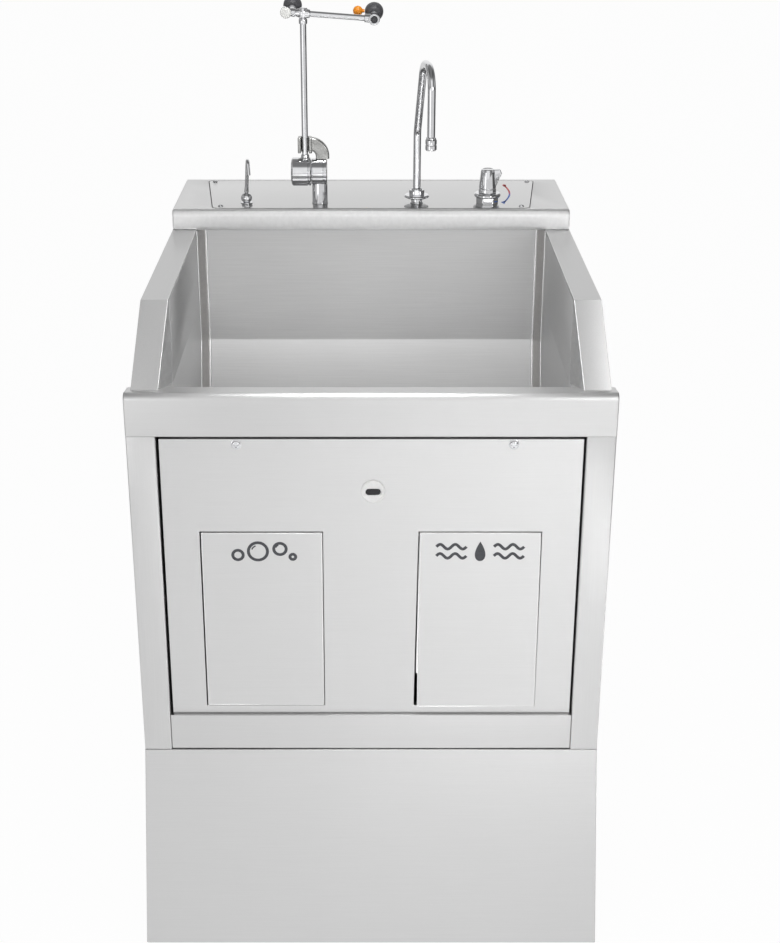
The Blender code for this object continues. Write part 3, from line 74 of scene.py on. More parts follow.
# Sizes that the nodes' boxes don't give
APRON_ROLL = 0.010
APRON_FALL = 0.007
APRON_BOTTOM = 0.9045
RIM_TOP = 0.972
PANEL_FACE = -0.342
PANEL_WIDER = (0.0004, 0.0012)
PANEL_LOWER = 0.0014
PANEL_TOP_GAP = 0.003
WIDE_GAP = 0.0017
NARROW_GAP = 0.0007
FOOT_GAP = 0.0011
OPENING_WEDGE = 0.0042
FRONT_SCREW_DROP = 0.0012
KNEE_TILT = {"soap": math.radians(0.4), "water": math.radians(1.6)}
KNEE_HINGE = (-0.3265, 0.7385)
KNEE_HINGE_BACK = 0.0155
KNEE_HINGE_DROP = 0.010
KNEE_SIZE = (0.181, 0.295, 0.026)
GUARD_KINK = (-0.287, 1.0917)
GUARD_FOOT = (-0.3274, 0.968)
GUARD_LIP = 0.005
GUARD_WIDTH = 0.0395
SPLAY = 0.0155
SPLAY_BACK = -0.282
CHEEK_BACK = -0.277
BOWL_HALF = 0.2915
BOWL_FRONT = -0.3045
BOWL_REAR = 0.135
BOWL_TOP = 1.0894
BOWL_RIM = 0.9627
BOWL_BEND = 0.895
BOWL_FOOT = 0.750
BOWL_SLOPE = math.radians(20)
BOWL_CORNER = 0.014
BOWL_COVE = 0.015
DRAIN = (0.0, -0.090, 0.717)
DRAIN_SEAT = 0.046
DRAIN_HOLE = 0.0235
LIP_FACE = 0.120
LIP_BACK = 0.140
LIP_BOTTOM = 1.092
LIP_ROLL = 0.009
DECK_TOP = 1.123
DECK_OPENING = (0.245, 0.148, 0.322)
PLATE_TOP = 1.1253
PLATE_CORNERS = ((-0.264, 0.131), (0.264, 0.131), (0.290, 0.344), (-0.290, 0.344))
FIXTURE_Y = 0.168
EYEWASH_Z = 1.1786
ARM_X = -0.110
TEE_RISE = 0.257
CROSS_ENDS = (-0.027, 0.115)
CROSS_DROOP = math.tan(math.radians(4.3))
HEAD_LEAN = math.radians(12)
LEFT_HEAD_SHIFT = 0.009
SPOUT_YAW = math.radians(8)
SHANK_FOOT = 1.0903
SHANK_TOP = 1.1225


# Arrays for lines and surfaces

def unit(vectors):
    """Vectors divided by their own length."""
    vectors = np.asarray(vectors, float)
    return vectors / np.maximum(np.linalg.norm(vectors, axis=-1, keepdims=True), 1e-12)


def bend(corners, radius, closed=False, steps=6):
    """A line with each corner swung into an arc.

    The arc's middle lies on the corner's bisector, at the radius over the sine of half the corner's angle. Its
    points blend the two touching points by the sines of the shares of the sweep.
    """
    corners = np.asarray(corners, float)
    radius = np.broadcast_to(np.asarray(radius, float), len(corners))[:, None]
    back = unit(np.roll(corners, 1, 0) - corners)
    ahead = unit(np.roll(corners, -1, 0) - corners)
    half = np.arccos(np.clip((back * ahead).sum(1, keepdims=True), -0.9999, 0.9999)) / 2
    middle = corners + unit(back + ahead) * radius / np.sin(half)
    start = corners + back * radius / np.tan(half) - middle
    end = corners + ahead * radius / np.tan(half) - middle
    sweep = (math.pi - 2 * half)[:, :, None]
    share = np.linspace(0, 1, steps + 1)[None, :, None]
    arcs = start[:, None] * np.sin((1 - share) * sweep) + end[:, None] * np.sin(share * sweep)
    arcs = middle[:, None] + arcs / np.sin(sweep)
    width = corners.shape[1]
    if closed:
        line = arcs.reshape(-1, width)
    else:
        line = np.concatenate([corners[:1], arcs[1:-1].reshape(-1, width), corners[-1:]])
    kept = np.linalg.norm(line - np.roll(line, 1, 0), axis=1) > 1e-7
    kept[0] = kept[0] or not closed
    return line[kept]


def sideways(line, closed):
    """Left-hand normals of a flat line, longer at its corners by one over the cosine of half the turn."""
    ahead = unit(np.roll(line, -1, 0) - line)
    back = unit(line - np.roll(line, 1, 0))
    if not closed:
        back[0] = ahead[0]
        ahead[-1] = back[-1]
    left = np.stack([-ahead[:, 1], ahead[:, 0]], 1)
    right = np.stack([-back[:, 1], back[:, 0]], 1)
    return (left + right) / (1 + (left * right).sum(1, keepdims=True))


def walled(line, thickness=SHEET):
    """Outline of a sheet on edge: a line, and then the line moved to its left by the thickness, run backwards."""
    return np.concatenate([line, (line + thickness * sideways(line, False))[::-1]])


def skin(grid, around=True, capped=True):
    """Faces between neighbouring points of a grid of rings, with the two end rings closed where capped."""
    rows, count = grid.shape[:2]
    row = np.arange(rows - 1)[:, None] * count
    here = np.arange(count if around else count - 1)[None]
    after = (here + 1) % count
    faces = np.stack([row + here, row + after, row + count + after, row + count + here], -1).reshape(-1, 4)
    ends = [np.arange(count)[::-1], np.arange(count) + (rows - 1) * count] if capped else []
    return grid.reshape(-1, 3), faces, ends


def drawn(outline, axis, start, end, ease=EASE):
    """A closed flat outline drawn along an axis.

    Near both ends it moves inwards along its normals by ease times one minus the sine of a quarter turn, while
    it travels by ease times one minus the cosine, so the end edges are round.
    """
    outline = np.asarray(outline, float)
    across, up = outline.T
    turning = np.sign((across * np.roll(up, -1) - up * np.roll(across, -1)).sum())
    inward = sideways(outline, True) * turning
    turn = np.linspace(0, math.pi / 2, 4)
    inset = ease * (1 - np.sin(turn))
    travel = math.copysign(ease, end - start) * (1 - np.cos(turn))
    insets = np.concatenate([inset, inset[::-1]])[:, None, None]
    places = np.concatenate([start + travel, end - travel[::-1]])[:, None]
    rings = outline + insets * inward
    columns = [rings[..., 0], rings[..., 1]]
    columns.insert(axis, np.broadcast_to(places, rings.shape[:2]))
    return skin(np.stack(columns, -1))


def turned(place, axis, profile, steps=48, flats=None):
    """A profile of (radius, height) points spun about an axis.

    A point is the place, plus its height along the axis, plus its radius towards each angle. With flats, no
    radius passes a hexagon of that half width.
    """
    radius, height = np.asarray(profile, float).T
    axis = unit(axis)
    side = unit(np.cross(axis, (0, 0, 1) if abs(axis[2]) < 0.9 else (1, 0, 0)))
    angle = np.linspace(0, math.tau, steps, endpoint=False)
    towards = np.cos(angle)[:, None] * side + np.sin(angle)[:, None] * np.cross(axis, side)
    radius = np.repeat(radius[:, None], steps, 1)
    if flats:
        radius = np.minimum(radius, flats / np.cos((angle + math.pi / 6) % (math.pi / 3) - math.pi / 6))
    return skin(np.asarray(place) + height[:, None, None] * axis + radius[..., None] * towards)


def hose(path, radius, side, steps=32):
    """A round bar along a path: each ring lies between the side direction and the one square to it and the path."""
    path = np.asarray(path, float)
    along = unit(np.gradient(path, axis=0))
    side = unit(np.asarray(side) - (along @ np.asarray(side, float))[:, None] * along)
    other = np.cross(along, side)
    angle = np.linspace(0, math.tau, steps, endpoint=False)[None, :, None]
    radius = np.broadcast_to(np.asarray(radius, float), len(path))[:, None, None]
    return skin(path[:, None] + radius * (np.cos(angle) * side[:, None] + np.sin(angle) * other[:, None]))


def carried(profile, path, side):
    """A closed profile carried along a flat path: its first number goes along side, its second square to both."""
    path = np.asarray(path, float)
    profile = np.asarray(profile, float)
    ahead = unit(np.diff(path, axis=0))
    before = np.concatenate([ahead[:1], ahead])
    after = np.concatenate([ahead, ahead[-1:]])
    first = np.cross(before, side)
    second = np.cross(after, side)
    normal = (first + second) / (1 + (first * second).sum(1, keepdims=True))
    across = profile[:, 0][None, :, None] * np.asarray(side, float)
    return skin(path[:, None] + across + profile[:, 1][None, :, None] * normal[:, None])


def ring_of(half, front, rear, corner, cut, steps=10):
    """Points round a rectangle with round corners: each corner's middle plus its radius towards a quarter turn.

    Half, front and rear are columns, one row for each level. Each side has one more point at the cut, or where the
    front corner's arc ends if that lies further back.
    """
    half, front, rear = (np.asarray(column, float)[:, None] for column in (half, front, rear))
    quarter = np.linspace(0, math.pi / 2, steps + 1)[None]
    runs = []
    near, far = front + corner, rear - corner
    for turns, (sign, edge) in enumerate(((1, far), (-1, far), (-1, near), (1, near))):
        angle = quarter + turns * math.pi / 2
        runs.append(np.stack([sign * (half - corner) + corner * np.cos(angle), edge + corner * np.sin(angle)], -1))
    place = np.maximum(cut, near + 0.002)
    runs.insert(2, np.stack([-half, place], -1))
    runs.append(np.stack([half, place], -1))
    return np.concatenate(runs, 1)


def piece(name, patches, finish, body, slot, *nodes, sheet=0.0, edge=0.0, brush="X"):
    """Puts surfaces into one mesh that rides on a body and stands for CAD nodes.

    Sheet gives an open surface its thickness behind its faces, edge rounds what is still sharp, and the brush map
    holds the place across the brushing and along it.
    """
    points = np.concatenate([patch[0] for patch in patches])
    starts = np.cumsum([0] + [len(patch[0]) for patch in patches[:-1]])
    faces = []
    for start, (_, quads, ends) in zip(starts, patches):
        faces += (quads + start).tolist() + [(end + start).tolist() for end in ends]
    mesh = bpy.data.meshes.new(name)
    mesh.from_pydata(points.tolist(), [], faces)
    shape = bmesh.new()
    shape.from_mesh(mesh)
    bmesh.ops.remove_doubles(shape, verts=shape.verts, dist=1e-6)
    if not sheet:
        bmesh.ops.recalc_face_normals(shape, faces=shape.faces)
    shape.to_mesh(mesh)
    shape.free()
    mesh.polygons.foreach_set("use_smooth", np.ones(len(mesh.polygons), bool))
    mesh.set_sharp_from_angle(angle=math.radians(35))
    corner = np.zeros(len(mesh.loops), np.int32)
    mesh.loops.foreach_get("vertex_index", corner)
    spot = np.zeros(len(mesh.vertices) * 3, np.float32)
    mesh.vertices.foreach_get("co", spot)
    spot = spot.reshape(-1, 3)[corner]
    along = "XYZ".index(brush)
    layer = mesh.uv_layers.new(name="brush")
    layer.uv.foreach_set("vector", np.stack([spot.sum(1) - spot[:, along], spot[:, along]], 1).ravel())
    mesh.materials.append(finish)
    made = bpy.data.objects.new(name, mesh)
    bpy.context.scene.collection.objects.link(made)
    if sheet:
        wall = made.modifiers.new("wall", "SOLIDIFY")
        wall.thickness = sheet
        wall.offset = -1
        wall.use_even_offset = True
    if edge:
        eased = made.modifiers.new("edge", "BEVEL")
        eased.width = edge
        eased.segments = 3
        eased.limit_method = "ANGLE"
        eased.angle_limit = math.radians(50)
        eased.harden_normals = True
    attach(made, body)
    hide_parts(*nodes)


def reach(node):
    """Lowest and highest corner of a CAD node, as arrays."""
    return tuple(np.array(corner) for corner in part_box(node))


# Materials

def linear(code):
    """An sRGB hex colour as linear light, with full cover."""
    value = np.array([int(code[i:i + 2], 16) for i in (1, 3, 5)]) / 255
    light = np.where(value <= 0.04045, value / 12.92, ((value + 0.055) / 1.055) ** 2.4)
    return (*light, 1.0)


def add(tree, kind, feeds=None, **settings):
    """Adds one node. A setting is a property of the node, or else the value of the input of that name."""
    node = tree.nodes.new("ShaderNode" + kind)
    for name, value in settings.items():
        if name in node.bl_rna.properties:
            setattr(node, name, value)
        else:
            node.inputs[name.replace("_", " ")].default_value = value
    for name, source in (feeds or {}).items():
        tree.links.new(source, node.inputs[name])
    return node


def material(name):
    """An empty material with its tree and its shader."""
    made = bpy.data.materials.new(name)
    made.use_nodes = True
    return made, made.node_tree, made.node_tree.nodes["Principled BSDF"]


def grey(value):
    """A grey of that much linear light."""
    return (value, value, value, 1.0)


def ramp(tree, source, *stops):
    """A node that turns a number into the colours at the given places."""
    node = add(tree, "ValToRGB", {"Fac": source})
    node.color_ramp.elements[0].position, node.color_ramp.elements[0].color = stops[0]
    node.color_ramp.elements[1].position, node.color_ramp.elements[1].color = stops[-1]
    for place, colour in stops[1:-1]:
        node.color_ramp.elements.new(place).color = colour
    return node


def times(tree, source, factor):
    """A number times a constant."""
    node = add(tree, "Math", {0: source}, operation="MULTIPLY")
    node.inputs[1].default_value = factor
    return node.outputs[0]


def dress(tree, shader, source, low, high, dull, bright, rough, sway):
    """Turns a number into a colour between two tones, and into a roughness that sways about its middle value."""
    tone = ramp(tree, source, (low, linear(dull)), (high, linear(bright)))
    tree.links.new(tone.outputs["Color"], shader.inputs["Base Color"])
    polish = add(tree, "MapRange", {"Value": source}, From_Min=0.3, From_Max=0.7, To_Min=rough - sway,
                 To_Max=rough + sway)
    tree.links.new(polish.outputs["Result"], shader.inputs["Roughness"])


def brushed_steel(name, along, dull, bright, rough, sway, stretch):
    """Stainless sheet brushed with a belt: streaks along one axis, highlights pulled out across them.

    Belt scratches are about 0.1 mm wide, too fine for the picture, so the streaks are drawn 1.1 mm wide and
    90 mm long. Broad patches of 160 mm stand for handling and wiping.
    """
    made, tree, shader = material(name)
    spot = add(tree, "TexCoord").outputs["Object"]
    scale = [1000 / 1.1] * 3
    scale["XYZ".index(along)] = 1000 / 90
    lines = add(tree, "Mapping", {"Vector": spot}, Scale=scale)
    streak = add(tree, "TexNoise", {"Vector": lines.outputs["Vector"]}, Scale=1.0, Detail=3.0, Roughness=0.6)
    patch = add(tree, "TexNoise", {"Vector": spot}, Scale=1000 / 160, Detail=2.0, Roughness=0.5)
    patches = times(tree, patch.outputs["Fac"], 0.25)
    both = add(tree, "Math", {0: streak.outputs["Fac"], 2: patches}, operation="MULTIPLY_ADD")
    both.inputs[1].default_value = 0.75
    dress(tree, shader, both.outputs[0], 0.30, 0.70, dull, bright, rough, sway)
    bump = add(tree, "Bump", {"Height": streak.outputs["Fac"]}, Strength=0.03, Distance=0.0003)
    tree.links.new(bump.outputs["Normal"], shader.inputs["Normal"])
    shader.inputs["Metallic"].default_value = 1.0
    shader.inputs["Anisotropic"].default_value = stretch
    tangent = add(tree, "Tangent", direction_type="UV_MAP", uv_map="brush")
    tree.links.new(tangent.outputs["Tangent"], shader.inputs["Tangent"])
    return made


def spotted(name, dull, bright, rough, sway, size, metallic=0.0, bumps=0.0):
    """A surface whose colour and gloss drift a little from spot to spot, size millimetres apart."""
    made, tree, shader = material(name)
    spot = add(tree, "TexCoord").outputs["Object"]
    cloud = add(tree, "TexNoise", {"Vector": spot}, Scale=1000 / size, Detail=4.0, Roughness=0.6)
    dress(tree, shader, cloud.outputs["Fac"], 0.32, 0.68, dull, bright, rough, sway)
    if bumps:
        grain = add(tree, "TexNoise", {"Vector": spot}, Scale=1000 / 0.8, Detail=2.0)
        bump = add(tree, "Bump", {"Height": grain.outputs["Fac"]}, Strength=bumps, Distance=0.0002)
        tree.links.new(bump.outputs["Normal"], shader.inputs["Normal"])
    shader.inputs["Metallic"].default_value = metallic
    return made


# Brushed stainless sheet: soft grey mirror with a grain, so lamps smear across the brushing
ACROSS = brushed_steel("stainless_sheet_brushed_across", "X", "#dadada", "#dedede", 0.31, 0.015, 0.55)
UPRIGHT = brushed_steel("stainless_sheet_brushed_upright", "Z", "#dadada", "#dedede", 0.31, 0.015, 0.55)
# The guard caps' sheet, brushed lengthwise, is painted darker than the rest as painted shade
LENGTHWISE_SHADED = brushed_steel("stainless_sheet_brushed_lengthwise_painted_darker", "Y", "#bebebe", "#c6c6c6", 0.34, 0.04, 0.50)
# The front rim is brushed by hand over its roll, which leaves it softer
RIM = brushed_steel("stainless_rim_hand_brushed", "X", "#dadada", "#dedede", 0.42, 0.015, 0.55)
# The deck plate is polished further than the rest, so the fixtures show in it as soft streaks; its colour is painted
# darker than the sheet's, as painted shade
POLISHED_SHADED = brushed_steel("stainless_sheet_fine_polished_painted_darker", "X", "#cecece", "#d4d4d4", 0.17, 0.02, 0.60)
# The bowl is brushed more coarsely, with long level scratches, and scatters light more
BOWL_STEEL = brushed_steel("stainless_bowl_brushed_level", "X", "#d8d8d8", "#e2e2e2", 0.50, 0.04, 0.40)
# The deck's rolled lip and the guards' cheeks: soft steel painted paler than the sheet, so they stay bright to their
# ends; the pale colour is painted light
PAINTED_BRIGHT_EDGE = spotted("stainless_edge_painted_bright", "#ececec", "#f4f4f4", 0.50, 0.04, 8, metallic=1.0)
# Bars on the welds of guards and bowl, the lip's hem and the knee panels' rims: thin pale lines of painted highlight,
# ground steel where they follow welds
PALE_HIGHLIGHT = spotted("stainless_weld_painted_highlight", "#e2e2e2", "#ececec", 0.50, 0.06, 3, metallic=1.0)
# Between the two welds of a bowl corner the sheet is painted duller and a little warm, as painted shade of the corner
CORNER_SHADE = spotted("stainless_corner_painted_shade", "#d0cecc", "#d8d6d4", 0.50, 0.05, 6, metallic=1.0)
# Sheet inside the cabinet is left as rolled: duller, no grain
ROLLED = spotted("stainless_sheet_as_rolled", "#b4b4b3", "#c4c4c3", 0.42, 0.06, 30, metallic=1.0)
# Chrome plate: a near mirror, with faint wiping haze
CHROME = spotted("chrome_plated_brass_polished", "#e2e3e5", "#ececee", 0.045, 0.025, 12, metallic=1.0)
# Cast clip: satin metal with a fine sand-cast tooth
SATIN = spotted("cast_steel_satin_blasted", "#a8a8a6", "#bcbcba", 0.23, 0.05, 6, metallic=1.0, bumps=0.10)
# Fittings and pipes inside: brass with a machined sheen, and drawn copper with long even patches
BRASS = spotted("brass_cast_and_machined", "#b98f48", "#d0a85e", 0.30, 0.08, 8, metallic=1.0)
COPPER = spotted("copper_tube_drawn", "#b46a45", "#cf8660", 0.28, 0.08, 20, metallic=1.0)
# Moulded white plastic: bright, slightly warm, soft gloss. The blown bottle is milkier and more matt
WHITE = spotted("white_abs_moulded", "#f6f6f5", "#fbfbfa", 0.34, 0.05, 5, bumps=0.03)
BOTTLE = spotted("polythene_bottle_blow_moulded", "#dcdcd6", "#e8e8e2", 0.48, 0.06, 25, bumps=0.05)
# Moulded dark rubbery plastic: matt with a fine grain. The orange cap is smoother
DARK = spotted("dark_grey_pvc_moulded", "#47474a", "#545457", 0.46, 0.08, 4, bumps=0.08)
ORANGE = spotted("orange_pp_moulded", "#ee8a14", "#f9a22a", 0.36, 0.06, 4, bumps=0.04)
# Dark bead round the deck plate: painted shadow of the plate's edge, shaped as a grey silicone bead with the soft gloss
# of a smoothed joint
PLATE_SHADOW_BEAD = spotted("grey_bead_painted_shadow", "#343436", "#404042", 0.50, 0.06, 5, bumps=0.04)
# Off-white plug on the eyewash pipe, a little greyer and warmer than the sensor's white
IVORY = spotted("off_white_nylon_moulded", "#e6e6e3", "#eeeeeb", 0.40, 0.05, 4, bumps=0.03)
# Deck screws: dull, and painted darker than the plate as painted shade
SCREW_SHADE = spotted("steel_screw_dull_painted_shade", "#b0b0b2", "#bebec0", 0.36, 0.06, 2, metallic=1.0)
# Smoked window over the sensor: black and glossy
SMOKED = spotted("smoked_acrylic_polished", "#141417", "#1c1c20", 0.10, 0.03, 6)
# Printed ink of the signs: flat and matt
INK = spotted("grey_screen_printed_ink", "#46474c", "#505156", 0.55, 0.06, 3, bumps=0.05)


def steel(name, patches, finish, *nodes, **shape):
    """A steel piece that stands still with the sink."""
    piece(name, patches, finish, "sink", "brushed_steel", *nodes, **shape)


def chrome(name, patches, body, *nodes):
    """A chrome piece on its body."""
    piece(name, patches, CHROME, body, "chrome_plate", *nodes)


# Front of the cabinet

def skirt():
    """Pedestal: a U line with bent corners, walled and drawn up, with flat bands inside its top and bottom.

    All of it is then made wider towards the floor, by a share of x that grows evenly downwards.
    """
    low, high = reach("pedestal")
    flare = high[0]
    low[0], high[0] = (corner[0] for corner in reach("apron"))
    line = bend([(low[0], high[1]), low[:2], (high[0], low[1]), high[:2]], FOLD)
    patches = [drawn(walled(line), 2, low[2], high[2], EASE / 2)]
    inset = SHEET + HAIR / 3
    wide, narrow = high[0] - inset, high[0] - 0.025
    near, far = low[1] + inset, low[1] + 0.025
    band = [(-wide, high[1]), (-wide, near), (wide, near), (wide, high[1])]
    band += [(narrow, high[1]), (narrow, far), (-narrow, far), (-narrow, high[1])]
    patches += [drawn(band, 2, z, z + SHEET, EASE / 2) for z in (low[2] + HAIR / 3, high[2] - SHEET - HAIR / 3)]
    for points, _, _ in patches:
        points[:, 0] *= 1 + (flare / high[0] - 1) * (1 - points[:, 2] / high[2])
    steel("skirt", patches, ACROSS, "pedestal")


def front_frame():
    """Stiles and rail: a line bent into a channel, walled and drawn along its length."""
    for side in ("left", "right"):
        low, high = reach(side + "_stile")
        outer = reach("apron")[0 if side == "left" else 1][0]
        left, right = (outer, high[0]) if side == "left" else (low[0], outer)
        line = bend([(left, high[1]), (left, low[1]), (right, low[1]), (right, high[1])], FOLD)
        channel = drawn(walled(line), 2, low[2], high[2])
        lid = [(left, low[1] + FOLD), (right, low[1] + FOLD), (right, high[1]), (left, high[1])]
        lid = drawn(lid, 2, high[2] - SHEET, high[2] - HAIR / 3, 0.0)
        steel("stile_" + side, [channel, lid], UPRIGHT, side + "_stile", brush="Z")
    low, high = reach("bottom_rail")
    foot = low[2] + 0.0010
    line = bend([high[1:], (low[1], high[2]), (low[1], foot), (high[1], foot)], (0, 0.0010, FOLD, 0))
    channel = drawn(walled(line), 0, low[0], high[0])
    steel("rail", [channel], ACROSS, "bottom_rail")


def apron():
    """Rim in front of the bowl: a cross-section, rolled at its top edge and falling to the bowl, drawn across."""
    low, high = reach("apron")
    face, rim = low[1], high[2]
    back = BOWL_FRONT - SHEET - HAIR
    inner = rim - APRON_FALL
    corners = [(BOWL_FRONT, inner), (face, rim), (face, APRON_BOTTOM), (back, APRON_BOTTOM), (back, inner - SHEET)]
    corners.append((BOWL_FRONT, inner - SHEET))
    outline = bend(corners, (0.0005, APRON_ROLL, 0.002, 0.0005, 0.0002, 0.0005), True, 10)
    steel("rim_apron", [drawn(outline, 0, low[0], high[0], 0.002)], RIM, "apron")


def folded_sheet(columns, rows, face, depth, holes=()):
    """A pressed sheet with turned-in edges: a grid of (x, z) on the face, whose outer cells bend straight back.

    Cells between hole columns and rows are left out, and so are the four corner cells, where the edges meet.
    """
    columns = np.array([columns[0], *columns, columns[-1]])
    rows = np.array([rows[0], *rows, rows[-1]])
    x, z = np.meshgrid(columns, rows)
    y = np.full_like(x, face)
    y[[0, -1]] += depth
    y[:, [0, -1]] = face + depth
    points, faces, _ = skin(np.stack([x, y, z], -1), around=False, capped=False)
    row, column = np.divmod(np.arange(len(faces)), len(columns) - 1)
    edge_row = (row == 0) | (row == len(rows) - 2)
    edge_column = (column == 0) | (column == len(columns) - 2)
    kept = ~(edge_row & edge_column)
    middle = points[faces].mean(1)
    for x0, x1, z0, z1 in holes:
        inside = (middle[:, 0] > x0) & (middle[:, 0] < x1) & (middle[:, 2] > z0) & (middle[:, 2] < z1)
        kept &= ~(inside & ~edge_row & ~edge_column)
    return points, faces[kept], []


def access_panel():
    """Front panel: a pressed sheet with turned-in edges, and an opening round each knee panel."""
    low, high = reach("access_panel")
    knees = [reach(word + "_knee_panel") for word in ("soap", "water")]
    half = KNEE_SIZE[0] / 2
    middles = [(a[0] + b[0]) / 2 for a, b in knees]
    top = KNEE_HINGE[1] + KNEE_HINGE_DROP
    span = (top - KNEE_SIZE[1] - FOOT_GAP, top + WIDE_GAP)
    holes = [(x - half - WIDE_GAP, x + half + NARROW_GAP, *span) for x in middles]
    columns = [low[0] - PANEL_WIDER[0], *holes[0][:2], *holes[1][:2], high[0] + PANEL_WIDER[1]]
    rows = [low[2] - PANEL_LOWER, *span, high[2] - PANEL_TOP_GAP]
    points, faces, ends = folded_sheet(columns, rows, low[1], high[1] - low[1], holes)
    # The water panel's opening is wider at its lower left, where a dark wedge shows beside the panel
    wedge = (abs(points[:, 0] - holes[1][0]) < HAIR) & (abs(points[:, 2] - span[0]) < HAIR)
    points[wedge, 0] -= OPENING_WEDGE
    steel("panel_sheet", [(points, faces, ends)], ACROSS, "access_panel", sheet=SHEET, edge=0.0014)


def on_knee(points, word):
    """Moves points from an upright knee panel to where it hangs: a turn about its pin, then the pin's place."""
    x, y, z = np.asarray(points, float).T
    low, high = reach(word + "_knee_panel")
    tilt = KNEE_TILT[word]
    back = y * math.cos(tilt) + z * math.sin(tilt)
    up = z * math.cos(tilt) - y * math.sin(tilt)
    return np.stack([x + (low[0] + high[0]) / 2, back + KNEE_HINGE[0], up + KNEE_HINGE[1]], 1)


def knee_panels():
    """Each knee panel: a pressed sheet with turned-in edges, hung at its own lean, with a round bar of painted
    highlight on its rim.
    """
    width, height, depth = KNEE_SIZE
    rim_inset, rim_depth, rim_radius = 0.0013, 0.0006, 0.0008
    for word in ("soap", "water"):
        rows = [KNEE_HINGE_DROP - height, KNEE_HINGE_DROP]
        points, faces, ends = folded_sheet([-width / 2, width / 2], rows, -KNEE_HINGE_BACK, depth)
        sheet = (on_knee(points, word), faces, ends)
        piece(word + "_push_panel", [sheet], ACROSS, word + "_knee_body", "brushed_steel", word + "_knee_panel",
              sheet=SHEET, edge=0.0024)
        side, foot, head = width / 2 - rim_inset, rows[0] + rim_inset, rows[1] - rim_inset
        corners = ((-side, foot), (side, foot), (side, head), (-side, head), (-side, foot))
        rim = [(x, rim_depth - KNEE_HINGE_BACK, z) for x, z in corners]
        rim = hose(on_knee(rim, word), rim_radius, (0, 1, 0), 12)
        piece(word + "_panel_rim_highlight", [rim], PALE_HIGHLIGHT, word + "_knee_body", "brushed_steel")
    # A flange beside the water panel shows in the wedge of its opening, down to four fifths of its height, in the pale
    # finish of painted highlight
    left, top, end = -width / 2, KNEE_HINGE_DROP, KNEE_HINGE_DROP - 0.8 * height
    flange = [(left + 0.001, top), (left, top), (left - 0.0034, end), (left - 0.0012, end)]
    flange += [(left - 0.0012, top - height), (left + 0.001, top - height)]
    points, faces, ends = drawn(flange, 1, 0.0012 - KNEE_HINGE_BACK, 0.0024 - KNEE_HINGE_BACK, 0.0)
    piece("water_panel_flange", [(on_knee(points, "water"), faces, ends)], PALE_HIGHLIGHT, "water_knee_body", "brushed_steel")


def bar_sign(line, width):
    """A flat stroke of one width along a line, standing 0.2 mm proud of the knee panel's face."""
    line = np.asarray(line, float)
    shift = sideways(line, False) * width / 2
    outline = np.concatenate([line + shift, (line - shift)[::-1]])
    return drawn(outline, 1, -KNEE_HINGE_BACK - 0.0002, -KNEE_HINGE_BACK + 0.0003, 0.0)


def knee_signs():
    """Plain signs in place of words: bubbles on the soap panel, a drop between waves on the water panel."""
    face = -KNEE_HINGE_BACK
    level = -0.0205
    bubbles = []
    rings = ((-0.036, -0.006, 0.010), (-0.006, 0.0, 0.0165), (0.027, 0.004, 0.0115), (0.046, -0.009, 0.0065))
    for x, z, radius in rings:
        ring = [(radius, 0), (radius, 0.0005), (radius - 0.0045, 0.0005), (radius - 0.0045, 0)]
        points, faces, _ = turned((x, face + 0.0003, level + z), (0, -1, 0), ring + ring[:1], 56)
        bubbles.append((points, faces, []))
        if radius > 0.011:
            turn = np.linspace(math.radians(160), math.radians(110), 9)
            glint = np.stack([x + 0.58 * radius * np.cos(turn), level + z + 0.58 * radius * np.sin(turn)], 1)
            bubbles.append(bar_sign(glint, 0.0022))
    turn = np.linspace(0, math.tau, 64, endpoint=False)
    belly = 0.0105
    drop = np.stack([belly * np.sin(turn) * np.sin(turn / 2) ** 1.1, 0.016 * np.cos(turn)], 1)
    waters = [drawn(drop + (0, level), 1, face - 0.0002, face + 0.0003, 0.0)]
    run = np.linspace(-1, 1, 49)
    for middle in (-0.043, 0.043):
        for z in (0.0085, -0.0065):
            wave = np.stack([middle + 0.0225 * run, level + z - 0.001 + 0.0038 * np.sin(run * math.tau)], 1)
            waters.append(bar_sign(wave, 0.0045))
    for word, patches in (("soap", bubbles), ("water", waters)):
        placed = [(on_knee(points, word), faces, ends) for points, faces, ends in patches]
        piece(word + "_sign", placed, INK, word + "_knee_body", "grey_plastic")


def screw_head(place, axis, radius, height):
    """A pan head with a cross recess on a polar grid.

    The dome's height falls with the fourth power of the radius share; the recess is two crossing grooves, each a
    smooth step of the distance from its middle line, and stops at 0.62 of the radius.
    """
    share = np.concatenate([np.linspace(0, 0.72, 16), 1 - 0.28 * np.cos(np.linspace(0, math.pi / 2, 8)) ** 1.5])
    share = np.unique(np.round(np.append(share, 1.0), 5))[:, None]
    angle = np.linspace(0, math.tau, 48, endpoint=False)[None]
    x, y = share * np.cos(angle), share * np.sin(angle)
    dome = height * (1 - 0.75 * share ** 4)
    groove = np.clip((0.17 - np.minimum(abs(x), abs(y))) / 0.06, 0, 1) * np.clip((0.62 - share) / 0.08, 0, 1)
    level = dome - 0.55 * height * groove
    axis = unit(axis)
    side = unit(np.cross(axis, (0, 1, 0) if abs(axis[1]) < 0.9 else (1, 0, 0)))
    other = np.cross(axis, side)
    top = np.asarray(place) + radius * (x[..., None] * side + y[..., None] * other) + level[..., None] * axis
    foot = np.asarray(place) + radius * (x[-1:, :, None] * side + y[-1:, :, None] * other)
    return skin(np.concatenate([top, foot]))


